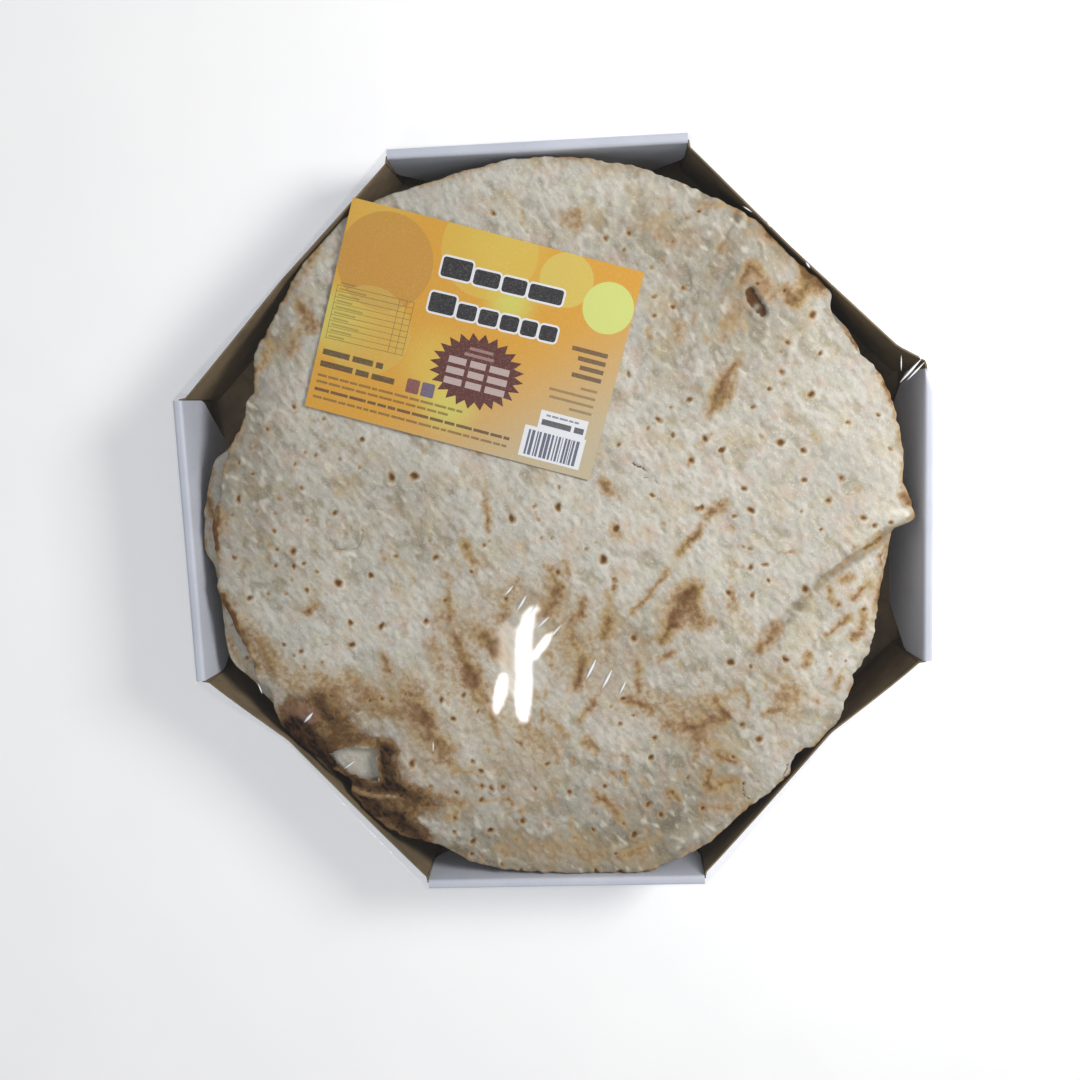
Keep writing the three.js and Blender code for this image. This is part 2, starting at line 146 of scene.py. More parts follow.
# Spots on the top bread, by how dark they are
STRONG_SPOTS = (
    (391, 477), (413.7, 476), (691, 460), (722, 450), (803, 450), (780, 442), (751, 510), (603, 559),
    (616, 528), (558, 507), (634, 638), (730, 662), (651, 758), (759, 739), (547, 764), (648, 804.5),
    (661, 815), (596, 873.5), (249, 599), (338, 582.6), (293, 551), (381, 626), (426, 621), (352, 645),
    (441, 700), (453, 718), (490, 831), (489, 831.3), (703, 809), (412, 763.6), (813, 314.5),
    (658, 419.6), (435, 557.6), (805, 588.8), (511.6, 518), (811, 394), (471, 856), (472.8, 842.6),
    (634, 835), (620.5, 874.5), (623, 699),
)
SPOTS = (
    (293.7, 407), (266.5, 429.6), (362, 439.6), (238, 463), (251.8, 474.5), (302, 488), (238, 499.5),
    (257, 510.6), (307, 520), (334.5, 513), (274.3, 530), (276.7, 549.4), (275.7, 565.7), (293.7, 566),
    (304, 563.7), (233, 557.6), (370.8, 575), (307, 590), (350.8, 622), (445.5, 600.5), (283.5, 645),
    (300.2, 651.4), (370.3, 699.8), (381.5, 698.5), (391.4, 700.6), (330.7, 696), (356.6, 709),
    (405.6, 693.7), (464, 695), (472.8, 761.4), (480.6, 771), (481.4, 785.7), (491.4, 788),
    (502.4, 787.3), (481, 799.8), (456.4, 792.4), (454.2, 819), (453.9, 833.7), (426.3, 805.3),
    (430.6, 786.4), (471, 572), (602.5, 561), (557, 572), (505.7, 599), (613.8, 579.5), (750.4, 567),
    (764.6, 565), (768.3, 580.5), (752, 595.6), (729.3, 593.3), (750.4, 666), (784.4, 658.7),
    (741.9, 724.8), (654.6, 738), (620.2, 724.8), (534.8, 788), (569.2, 792), (604.6, 786),
    (623.7, 823), (592.7, 829.7), (522.6, 821), (501.5, 866.5), (521, 872.2), (616, 855),
    (744.2, 783.8), (688, 778), (732.7, 757.4), (803.6, 480), (841, 477.3), (744, 488.6),
    (827.7, 500.5), (701.3, 507.7), (734.5, 516.3), (820.7, 529.6), (863.3, 517.5), (875.3, 526.2),
    (891.5, 522.4), (749.8, 548), (838.5, 604.5), (865.8, 611.6), (863.3, 630.7), (853.4, 640.7),
    (786.2, 659.7), (891.5, 448.6), (699.6, 210.4), (687, 218.6), (672.7, 242), (683.3, 288),
    (654, 296.5), (654.3, 315.5), (672.7, 306.7), (757.3, 284), (785, 290), (787.3, 343),
    (820.6, 353.3), (781.8, 372.2), (769.6, 388.6), (689, 400), (752.2, 407.3), (672.7, 434.5),
    (848, 422.7), (878.8, 415), (618.8, 445.2), (672.7, 435.4), (652, 495), (697.7, 508), (483.4, 546),
    (628.3, 373.7), (605.3, 238), (628.3, 232.5), (623.7, 250), (492.8, 213), (704.5, 438.5),
    (632.8, 716), (768.5, 711.5),
)
FAINT_SPOTS = (
    (324, 419), (254, 447), (305, 453), (316, 455), (320, 445), (295, 464), (340, 459), (359, 468),
    (279, 499), (275, 514), (231, 515), (317, 572), (292, 580), (395, 556), (429, 541), (286, 594),
    (268, 594), (304, 667), (322, 662), (293, 656), (329, 717), (340, 718), (478, 710), (478, 711),
    (534, 506), (559, 487), (586, 549), (488, 541), (552, 538), (541, 538), (801, 512), (743, 547),
    (790, 552), (753, 594), (816, 641), (831, 670), (846, 662), (611, 706), (663, 261), (651, 267),
    (781, 352), (671, 408), (648, 428), (880, 373), (702, 670), (599, 764), (575, 838), (516, 841),
)

# Toasted streaks: from, to, half width and depth of colour. The dark line along the top bread's lower left
# edge is partly browned edge and partly painted contact shade.
STREAKS = (
    (742, 355, 732, 368, 4, 0.7), (732, 368, 723, 385, 6.5, 0.72), (724, 383, 716, 400, 8.5, 0.72),
    (716, 398, 710, 410, 6.5, 0.75), (728, 394, 722, 404, 5, 0.5), (215, 508, 216.5, 548, 2.4, 1.0),
    (741, 281, 748, 270, 6, 0.85), (748, 269, 758, 270, 7, 0.6), (758, 271, 768, 292, 7, 0.65),
    (794, 300, 812, 284, 10, 0.95), (808, 275, 824, 284, 8, 1.0), (785, 289, 788, 302, 5, 0.85),
    (727, 243, 722, 250, 4.5, 0.6), (738, 324, 719, 340, 8, 0.3), (730, 292, 738, 312, 10, 0.3),
    (741, 306, 722, 330, 8, 0.42), (745, 322, 744, 336, 3, 0.4), (680, 325, 679, 337, 5, 0.55),
    (720, 318, 722, 326, 3, 0.35), (758, 286, 772, 300, 6, 0.42), (648, 328, 652, 338, 3, 0.7),
    (709, 434, 700, 447, 3.4, 0.6), (691, 457, 690, 464, 5.5, 0.6), (580, 214, 577, 226, 5, 0.62),
    (566, 219, 574, 215, 5, 0.45), (523, 209, 521, 224, 3, 0.55), (655, 230, 668, 243, 7, 0.4),
    (640, 225, 670, 214, 6, 0.25), (700, 203, 722, 204, 4, 0.6), (744, 232, 769, 238, 6, 0.45),
    (758, 222, 770, 235, 6, 0.35), (696.8, 532, 676, 556, 4.2, 0.9), (668, 571, 633, 612, 3.4, 0.85),
    (690, 590, 673, 616, 12.5, 0.95), (692, 594, 700, 622, 8, 0.8), (672, 622, 664, 638, 6, 0.95),
    (709, 620, 713, 617, 4, 0.6), (732, 582, 729, 606, 2.6, 0.45), (777, 627, 759, 648, 6.2, 0.85),
    (674, 652, 660, 661, 4.2, 0.8), (637, 664, 640, 690, 3.4, 0.8), (584, 660, 576, 685, 7, 0.9),
    (565, 652, 568, 660, 4, 0.5), (594, 702, 579, 720, 4, 0.8), (628, 700, 653, 711, 4.6, 0.85),
    (670, 721, 690, 726, 6, 0.6), (690, 726, 722, 720, 6, 0.65), (716, 698, 726, 716, 5, 0.75),
    (729, 693, 738, 689, 5, 0.65), (695, 739, 713, 744, 5, 0.5), (718, 755, 736, 760, 4.4, 0.85),
    (711, 771, 706, 786, 3.8, 0.9), (710, 790, 734, 781, 6, 0.8), (715, 811, 730, 808, 5, 0.55),
    (587, 741, 594, 751, 5, 0.85), (548, 716, 566, 736, 4.5, 0.62), (528, 728, 556, 750, 11, 0.55),
    (610, 803, 624, 822, 4, 0.6), (596, 792, 600, 800, 5, 0.5), (455, 769, 472, 773, 4.2, 0.6),
    (484, 800, 503, 800, 4, 0.65), (440, 797, 466, 806, 5, 0.6), (624, 858, 642, 851, 4.2, 0.65),
    (575, 838, 579, 842, 5, 0.5), (502, 850, 506, 856, 6, 0.5), (500, 850, 556, 866, 13, 0.34),
    (594, 856, 650, 864, 12, 0.34), (612, 800, 650, 826, 11, 0.26), (470, 726, 500, 760, 14, 0.26),
    (500, 776, 530, 800, 10, 0.26), (556, 832, 552, 858, 6, 0.3), (780, 698, 798, 688, 8, 0.34),
    (809, 655, 804, 664, 5.5, 0.85), (762, 716, 776, 708, 4.5, 0.55), (845, 668, 838, 690, 4, 0.5),
    (780, 700, 790, 716, 9, 0.35), (720, 504, 726, 500, 5, 0.55), (700, 527, 712, 512, 6, 0.6),
    (713, 512, 728, 502, 4.5, 0.5), (613, 526, 618, 534, 6, 0.7), (841, 581, 852, 576, 5, 0.75),
    (856, 596, 872, 586, 4.4, 0.85), (829, 590, 837, 605, 4, 0.75), (850, 618, 829, 637, 3.8, 0.8),
    (866, 611, 862, 634, 4.5, 0.75), (853, 641, 856, 637, 5, 0.9), (830, 670, 832, 677, 4, 0.6),
    (837, 690, 844, 682, 4, 0.6), (903, 497, 906, 504, 5, 0.75), (780, 554, 800, 551, 3.5, 0.5),
    (888, 384, 898, 420, 4, 0.5), (752, 597, 749, 603, 4, 0.35), (731, 592, 734, 610, 4, 0.5),
    (483.4, 487, 488, 500, 3.4, 0.7), (487, 507, 489, 528, 4.4, 0.9), (463, 528, 464, 544, 3.6, 0.5),
    (465, 544, 472, 562, 6.2, 0.85), (603, 484, 613, 494, 7, 0.6), (620, 498, 642, 507, 5, 0.28),
    (440, 571, 452, 580, 4, 0.45), (550, 566, 556, 590, 7, 0.65), (566, 562, 568, 572, 5, 0.7),
    (560, 588, 547, 611, 8, 0.75), (518, 582, 516, 590, 5, 0.45), (486, 586, 492, 594, 6, 0.35),
    (507, 598, 502, 618, 7, 0.62), (478, 628, 484, 640, 9, 0.62), (584, 600, 579, 617, 4.6, 0.8),
    (608, 594, 612, 606, 6, 0.5), (609, 620, 607, 630, 7, 0.9), (572, 620, 570, 632, 4, 0.6),
    (456, 640, 475, 678, 6.5, 0.9), (486, 636, 494, 654, 6, 0.8), (448, 590, 450, 618, 4, 0.7),
    (475, 678, 482, 700, 7, 0.5), (497, 640, 505, 664, 7, 0.4), (430, 650, 440, 690, 8, 0.35),
    (383, 653, 388, 668, 6, 0.85), (306, 612, 316, 605, 4.6, 0.9), (377, 628, 386, 625, 3.6, 0.6),
    (423, 716, 441, 750, 14, 0.8), (409, 692, 424, 716, 9, 0.6), (349, 676, 366, 692, 8, 0.6),
    (320, 676, 336, 694, 9, 0.5), (445, 575, 448, 583, 3, 0.45), (404, 668, 424, 690, 8, 0.4),
    (436, 640, 440, 662, 5, 0.4), (294, 402, 296, 413, 3.6, 0.6), (267, 426, 266, 434, 4, 0.4),
    (346, 422, 352, 425, 4, 0.45), (212, 505, 213, 540, 3.4, 0.8), (219, 515, 222, 531, 6, 0.6),
    # the first two: browned edge and painted contact shade along the lower left edge
    (222, 596, 232, 618, 4, 0.85), (232, 618, 258, 674, 3.6, 0.7), (244, 626, 270, 664, 10, 0.4),
    (262, 640, 284, 680, 12, 0.4), (230, 452, 232, 446, 3, 0.6), (270, 346, 259, 366, 7, 0.8),
    (317, 250, 292, 284, 5.5, 0.6), (300, 332, 288, 352, 8, 0.7), (297, 303, 314, 326, 7.5, 0.85),
    (336, 250, 312, 262, 4, 0.4), (560, 676, 540, 700, 8, 0.35), (610, 634, 604, 660, 6, 0.3),
    (650, 640, 642, 652, 6, 0.3), (700, 700, 708, 716, 7, 0.30), (672, 700, 680, 712, 6, 0.3),
    (604, 486, 606, 490, 5, 0.7), (630, 352, 634, 372, 4, 0.2), (620, 396, 617, 412, 4, 0.4),
    (300, 674, 396, 694, 20, 0.34), (436, 640, 470, 690, 17, 0.34), (396, 700, 446, 752, 20, 0.36),
    (560, 600, 640, 636, 26, 0.24), (690, 606, 716, 716, 26, 0.20), (600, 704, 716, 738, 26, 0.24),
    (480, 600, 522, 664, 24, 0.28), (846, 590, 862, 640, 20, 0.24), (700, 774, 740, 800, 18, 0.32),
    (402, 764, 452, 806, 22, 0.34), (780, 690, 800, 716, 18, 0.30), (640, 214, 684, 246, 24, 0.26),
    (560, 212, 600, 224, 16, 0.26), (240, 616, 268, 668, 14, 0.30), (640, 300, 690, 338, 18, 0.20),
    (230, 520, 246, 536, 12, 0.30), (892, 560, 880, 620, 12, 0.24), (480, 700, 540, 752, 26, 0.24),
    (372, 700, 396, 716, 10, 0.45), (300, 690, 330, 700, 12, 0.40), (330, 700, 372, 712, 12, 0.45),
    (560, 640, 600, 690, 18, 0.22), (520, 760, 560, 790, 16, 0.24), (600, 840, 640, 860, 16, 0.24),
    (700, 820, 730, 806, 14, 0.26), (540, 840, 590, 866, 18, 0.22), (740, 620, 780, 660, 16, 0.22),
    (640, 690, 664, 704, 8, 0.32), (676, 704, 700, 722, 12, 0.28), (704, 700, 730, 712, 10, 0.30),
    (668, 726, 690, 738, 9, 0.30), (700, 738, 726, 752, 9, 0.30), (782, 676, 796, 690, 10, 0.24),
    (790, 690, 800, 702, 9, 0.20), (590, 790, 604, 800, 6, 0.5), (604, 800, 618, 814, 6, 0.5),
    # the next three: browned edge and painted contact shade along the lower left edge
    (221, 597, 230, 620, 4, 1.0), (230, 620, 240, 647, 4, 1.0), (240, 647, 252, 671, 4, 0.9),
    (560, 846, 590, 858, 8, 0.4), (640, 846, 660, 838, 8, 0.4), (500, 826, 530, 846, 10, 0.35),
    (491, 712, 494, 724, 3, 0.6), (496, 730, 499, 736, 3, 0.6), (519, 719, 521, 724, 2.5, 0.6),
    (572, 638, 577, 650, 4, 0.6), (882, 538, 866, 547, 3.5, 0.7), (614, 580, 614, 588, 3, 0.8),
    (548, 652, 552, 666, 5, 0.5), (462, 674, 496, 712, 16, 0.34), (448, 610, 470, 640, 14, 0.34),
    (530, 590, 570, 640, 20, 0.30), (600, 640, 640, 700, 20, 0.22), (432, 600, 440, 620, 7, 0.4),
)
SECOND_STREAKS = (
    (207, 498, 211, 514, 4.6, 0.95), (212, 518, 210, 540, 3.0, 0.5), (228, 640, 244, 668, 5.0, 0.6),
    (846, 334, 858, 346, 5.0, 0.9), (222, 620, 232, 644, 3.0, 0.4),
)
FLECK_COUNT = 400
DEEP_FLECKS_BELOW = 680
PINPRICK_COUNT = 130
PINPRICK_SPACING = 5.5

# Scorched side: from, to, half width and depth
SCORCH = (
    (318, 702, 398, 716, 22, 0.34), (300, 716, 340, 742, 20, 0.50), (340, 730, 366, 740, 15, 0.45),
    (385, 750, 392, 788, 14, 0.66), (350, 790, 420, 800, 14, 0.62), (404, 788, 438, 806, 19, 0.48),
    (372, 812, 424, 842, 17, 0.60), (258, 652, 290, 704, 15, 0.34), (320, 752, 352, 786, 10, 0.66),
    (284, 712, 302, 726, 12, 0.60), (300, 727, 326, 757, 14, 1.0), (382, 752, 385, 786, 7, 0.85),
    (356, 788, 402, 791, 6, 0.80), (368, 804, 400, 822, 12, 0.70), (398, 820, 420, 842, 13, 0.80),
    (290, 728, 330, 764, 13, 1.0), (350, 790, 368, 808, 10, 0.60), (330, 741, 372, 744, 6, 0.40),
    (382, 744, 392, 752, 7, 0.65), (412, 798, 416, 812, 8, 0.45), (318, 700, 328, 716, 8, 0.60),
    (284, 728, 307, 753, 9, 1.0), (307, 753, 332, 768, 8, 0.95), (384, 804, 414, 830, 15, 0.30),
    (389, 748, 392, 786, 8, 0.5), (366, 800, 380, 816, 8, 0.7), (316, 706, 340, 722, 14, 0.5),
)
PINK_EDGE = ((303, 715, 309, 720, 5, 1.0), (286, 708, 314, 712, 8, 0.7))

# Broad places where the whole crust is painted greyer and darker, partly as greyer crust and partly as
# painted shade: less light towards the left and the bottom, the fold at the top right and the valley below
# the pleat. From, to, half width and depth
SHADE_AND_TONE_STROKES = (
    (470, 850, 640, 846, 42, 0.80), (640, 840, 710, 800, 40, 0.66), (540, 770, 700, 780, 44, 0.52),
    (640, 640, 720, 730, 44, 0.44), (380, 690, 460, 790, 34, 0.46), (740, 300, 690, 380, 44, 0.36),
    (640, 220, 740, 236, 34, 0.46), (250, 480, 270, 580, 34, 0.40), (470, 215, 560, 222, 30, 0.20),
    (296, 300, 250, 440, 26, 0.45), (560, 600, 600, 660, 36, 0.24), (760, 660, 800, 720, 40, 0.36),
    (260, 470, 380, 520, 60, 0.40), (700, 260, 780, 330, 60, 0.36), (420, 520, 470, 600, 50, 0.26),
    (590, 240, 690, 300, 44, 0.30), (742, 215, 766, 224, 9, 0.80), (735, 290, 742, 306, 9, 0.40),
    # The five strokes below are painted shade in the soft valley below the pleat
    (886, 536, 860, 555, 5, 0.65), (860, 556, 820, 581, 6, 0.60), (820, 581, 796, 607, 6, 0.55),
    (796, 607, 776, 632, 6, 0.50), (776, 632, 752, 652, 5, 0.35),
)

# Lines pressed or torn into the bread, dark as cracks and, in the soft fold at the top right and along the
# top bread's lower left edge, as painted shade: corner points, half width, depth
CRACKS = (
    (((632, 463), (641, 467), (647, 471)), 1.6, 1.0),
    (((643, 477), (654, 477), (659, 484)), 1.4, 0.7),
    # soft fold at the top right: painted shade in the fold
    (((740, 206), (733, 226), (722, 246), (716, 256)), 5.0, 0.5),
    (((743, 783), (745, 796), (752, 802)), 1.3, 0.9),
    (((790, 761), (787, 772), (784, 782)), 1.2, 0.8),
    (((326, 531), (331, 540), (338, 550)), 1.7, 0.5),
    (((338, 550), (348, 549.6), (356, 549), (359.5, 546), (361.5, 539), (363, 527)), 1.5, 0.62),
    # along the top bread's lower left edge: painted contact shade
    (((221, 599), (230, 623), (240, 650), (252, 671)), 1.8, 0.7),
    (((560, 793), (590, 796), (612, 806)), 3.4, 0.30),
)
BLISTER_HOLE = (
    (750.6, 292, 6.2), (752.5, 298, 6.8), (756, 303, 6.8), (760, 308, 6.2), (763, 312.5, 4.8),
)
BLISTER_MIDDLE = (757.5, 306)

# Pale places: the loose flake, and painted highlights on the lit pinched tip, on lips along the pleat and
# beside toasted marks, and where the film glints
PALE_AND_HIGHLIGHTS = (
    (344, 555, 354, 555, 6, 1.0), (349, 561, 350, 568, 3.4, 0.9), (893, 511, 909, 512, 6, 0.95),
    (886, 523, 872, 533, 2.5, 0.7), (742, 292, 740, 300, 3, 0.3), (330, 764, 344, 768, 3, 0.5),
    (820, 573, 836, 562, 4, 0.5), (786, 600, 800, 586, 4, 0.5), (640, 585, 655, 572, 4, 0.5),
    (652, 598, 664, 586, 5, 0.5), (745, 645, 754, 634, 4, 0.4), (688, 640, 700, 632, 4, 0.4),
)
CURLED_LIP = ((348, 790), (369, 797), (395, 797))

# Sharp creases in the film, drawn white as painted glints: from, to and half width in millimetres
CREASES = (
    (900, 382.5, 922, 358.5, 0.75), (907, 380.5, 925, 362, 0.55), (901.4, 355, 901.4, 371, 0.35),
    (585.6, 680, 596, 659.5, 1.0), (601.7, 689.4, 612, 670, 1.0), (619, 695, 626, 681, 0.7),
    (516.7, 611, 526, 596, 0.9), (504, 596, 513, 586, 0.7), (536, 628.5, 549, 617, 0.8),
    (549, 638, 561.5, 625, 0.7), (524, 622, 538, 604, 1.0), (343.7, 769, 354.8, 761.4, 0.7),
    (304, 722.6, 312.6, 713, 1.0), (433, 752, 433, 741.6, 0.4), (258, 684, 262, 694, 0.4),
    (766, 220, 771, 227, 0.55), (806, 262, 810, 268, 0.5), (743, 206, 752, 212, 0.35),
)

# Glare on the film: middle of its mirror image in pixels, width and length in millimetres, turn, shape
# and share of the full brightness
GLARE = (
    (524, 664, 7.4, 36.0, -2, "RECTANGLE", 1.0), (526, 630, 6.0, 24.0, -16, "ELLIPSE", 1.0),
    (523, 699, 7.4, 26.0, -4, "ELLIPSE", 1.0), (500, 694, 6.0, 23.0, -15, "ELLIPSE", 1.0),
    (541, 647, 3.4, 19.0, -37, "ELLIPSE", 1.0), (530, 619, 2.0, 16.0, -40, "ELLIPSE", 1.0),
    (510, 660, 12.0, 40.0, 3, "ELLIPSE", 0.18),
)
GLARE_HEIGHT = 1150.0
GLARE_POWER = 115.0

# Soft light, in metres
SKY_COLOUR = (0.95, 0.97, 1.0, 1)
SKY_STRENGTH = 0.42
KEY_PLACE = (0.62, 0.24, 0.58)
KEY_AIM = (0.06, 0.04, 0.05)
KEY_SIZE = (0.28, 0.28)
KEY_POWER = 5.4
KEY_COLOUR = (1.0, 0.985, 0.96)

# Floor
FLOOR_REACH = 1500.0
FLOOR_HEIGHT = -0.02

# Linear colour that the crust is multiplied by where it is painted darker, as greyer crust and as painted
# shade, and the fields that it reads
SHADE = (0.46, 0.42, 0.35, 1)
CRUST_FIELDS = ("toast", "scorch", "spot", "raised_lip_and_rim_highlight", "pink", "crack_and_crease_shade", "hollow_shade_and_grain", "tone_and_shade", "pale")

RANDOM = random.Random(23)


def on_face(px, py, height=FACE_HEIGHT):
    """Point in millimetres where a pixel of the photograph meets a level plane."""
    half = IMAGE_SIZE / 2
    ray = FOCAL_PIXELS * CAMERA_FORWARD + (px - half) * CAMERA_RIGHT - (py - half) * CAMERA_UP
    share = (height - CAMERA_PLACE.z) / ray.z
    return (CAMERA_PLACE + share * ray).to_2d()


PIXEL = (on_face(541, 540) - on_face(540, 540)).length


# Numbers on arrays of points


def smooth(value, low, high):
    share = np.clip((value - low) / (high - low), 0, 1)
    return share * share * (3 - 2 * share)


def field(x, y, across, along=None, turn=0.0, seed=0.0):
    """Smooth noise from about -1 to 1, stretched along a direction."""
    along = along or across
    c, s = math.cos(math.radians(turn)), math.sin(math.radians(turn))
    u = (x * c + y * s) / along
    v = (y * c - x * s) / across
    return np.array([noise.noise(Vector((a, b, seed))) for a, b in zip(u, v)])


def from_segment(x, y, start, end):
    """Distance from a segment, share of the way along it, and signed distance from its line."""
    along = Vector(end) - Vector(start)
    length = max(along.length, 1e-6)
    dx, dy = x - start[0], y - start[1]
    share = np.clip((dx * along.x + dy * along.y) / length ** 2, 0, 1)
    away = np.hypot(dx - share * along.x, dy - share * along.y)
    side = (dx * along.y - dy * along.x) / length
    return away, share, side


def from_line(x, y, corners):
    """Distance from the nearest stretch of a line."""
    away = np.full(len(x), np.inf)
    for start, end in zip(corners, corners[1:]):
        away = np.minimum(away, from_segment(x, y, start, end)[0])
    return away


def from_loop(x, y, loop):
    return from_line(x, y, [*loop, loop[0]])


def inside(x, y, loop):
    result = np.zeros(len(x), bool)
    for i, (ax, ay) in enumerate(loop):
        bx, by = loop[(i + 1) % len(loop)]
        crosses = (ay > y) != (by > y)
        with np.errstate(divide="ignore", invalid="ignore"):
            reach = (bx - ax) * (y - ay) / (by - ay) + ax
        result ^= crosses & (x < reach)
    return result


def warped(x, y, amount, size, seed):
    """The points pushed about by noise, so that what is drawn on them gets an uneven outline."""
    return (x + amount * field(x, y, size, seed=seed), y + amount * field(x, y, size, seed=seed + 3.7))


def streak_field(x, y, streaks, soft=2.2, height=FACE_HEIGHT):
    """Depth of colour left by streaks given in pixels, from 0 to 1."""
    x, y = warped(*warped(x, y, 1.9, 11.0, 70.0), 1.1, 3.2, 80.0)
    left = np.ones(len(x))
    for x0, y0, x1, y1, half, depth in streaks:
        start, end = on_face(x0, y0, height), on_face(x1, y1, height)
        reach = half * PIXEL
        middle = (start + end) / 2
        far = (end - start).length / 2 + soft * reach
        near = np.hypot(x - middle.x, y - middle.y) < far
        away, _, _ = from_segment(x[near], y[near], start, end)
        left[near] *= 1 - depth * (1 - smooth(away, -0.5 * reach, soft * reach))
    return 1 - left


# Meshes


def loop_edges(start, count):
    return [(start + i, start + (i + 1) % count) for i in range(count)]


def triangulate(loops, inner):
    """Triangles inside the first loop and outside the others, with the new indices of each loop."""
    points = []
    edges = []
    for loop in loops:
        edges += loop_edges(len(points), len(loop))
        points += [Vector(point) for point in loop]
    points += [Vector(point) for point in inner]
    found, _, faces, origins, _, _ = delaunay_2d_cdt(points, edges, [], 1, 1e-6, True)
    flat = np.array([tuple(point) for point in found])
    faces = np.array(faces)
    middle = flat[faces].mean(axis=1)
    for i, loop in enumerate(loops):
        within = inside(middle[:, 0], middle[:, 1], loop)
        keep = within if i == 0 else ~within
        faces, middle = faces[keep], middle[keep]
    place = {}
    for new, old in enumerate(origins):
        for index in old:
            place[index] = new
    indices = []
    start = 0
    for loop in loops:
        indices.append([place[start + i] for i in range(len(loop))])
        start += len(loop)
    return flat, faces, indices


def hex_points(step, reach):
    """Points of a hexagonal grid over a square round the middle."""
    rows = np.arange(-reach, reach, step * math.sqrt(3) / 2)
    columns = np.arange(-reach, reach, step)
    points = [columns + (step / 2 if i % 2 else 0) for i in range(len(rows))]
    x = np.concatenate(points)
    y = np.repeat(rows, len(columns))
    return x, y


class Body:
    """Corners and faces of one mesh, gathered part by part."""

    def __init__(self):
        self.points = []
        self.faces = []
        self.kinds = []

    def add(self, points, faces, kind=0):
        start = len(self.points)
        self.points += [tuple(point) for point in points]
        self.faces += [tuple(int(i) + start for i in face) for face in faces]
        self.kinds += [kind] * len(faces)
        return start

    def bridge(self, first, second, kind=0):
        """Quads between two closed loops of corner indices."""
        count = len(first)
        for i in range(count):
            j = (i + 1) % count
            self.faces.append((first[i], second[i], second[j], first[j]))
            self.kinds.append(kind)

    def grid(self, rows, kind=0, closed=False, flip=False):
        """Quads over rows of points of equal length."""
        count = len(rows[0])
        start = self.add([point for row in rows for point in row], [])
        for r in range(len(rows) - 1):
            for c in range(count if closed else count - 1):
                a, b = start + r * count + c, start + r * count + (c + 1) % count
                quad = (a, b, b + count, a + count)
                self.faces.append(quad[::-1] if flip else quad)
                self.kinds.append(kind)
        return start

    def piece(self, name, materials, nodes, attributes=None, smooth_shading=True):
        mesh = bpy.data.meshes.new(name)
        mesh.from_pydata([tuple(MM * c for c in point) for point in self.points], [], self.faces)
        mesh.validate()
        for material in materials:
            mesh.materials.append(material)
        mesh.polygons.foreach_set("material_index", self.kinds)
        mesh.polygons.foreach_set("use_smooth", [smooth_shading] * len(mesh.polygons))
        for title, values in (attributes or {}).items():
            layer = mesh.attributes.new(title, "FLOAT", "POINT")
            layer.data.foreach_set("value", np.asarray(values, dtype=np.float32))
        mesh.update()
        obj = bpy.data.objects.new(name, mesh)
        bpy.context.scene.collection.objects.link(obj)
        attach(obj, "root")
        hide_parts(*nodes)
        return obj


# Materials


def tint(red, green, blue):
    """Linear colour from an 8-bit screen colour."""
    shares = [value / 255 for value in (red, green, blue)]
    linear = [s / 12.92 if s <= 0.04045 else ((s + 0.055) / 1.055) ** 2.4 for s in shares]
    return (*linear, 1.0)


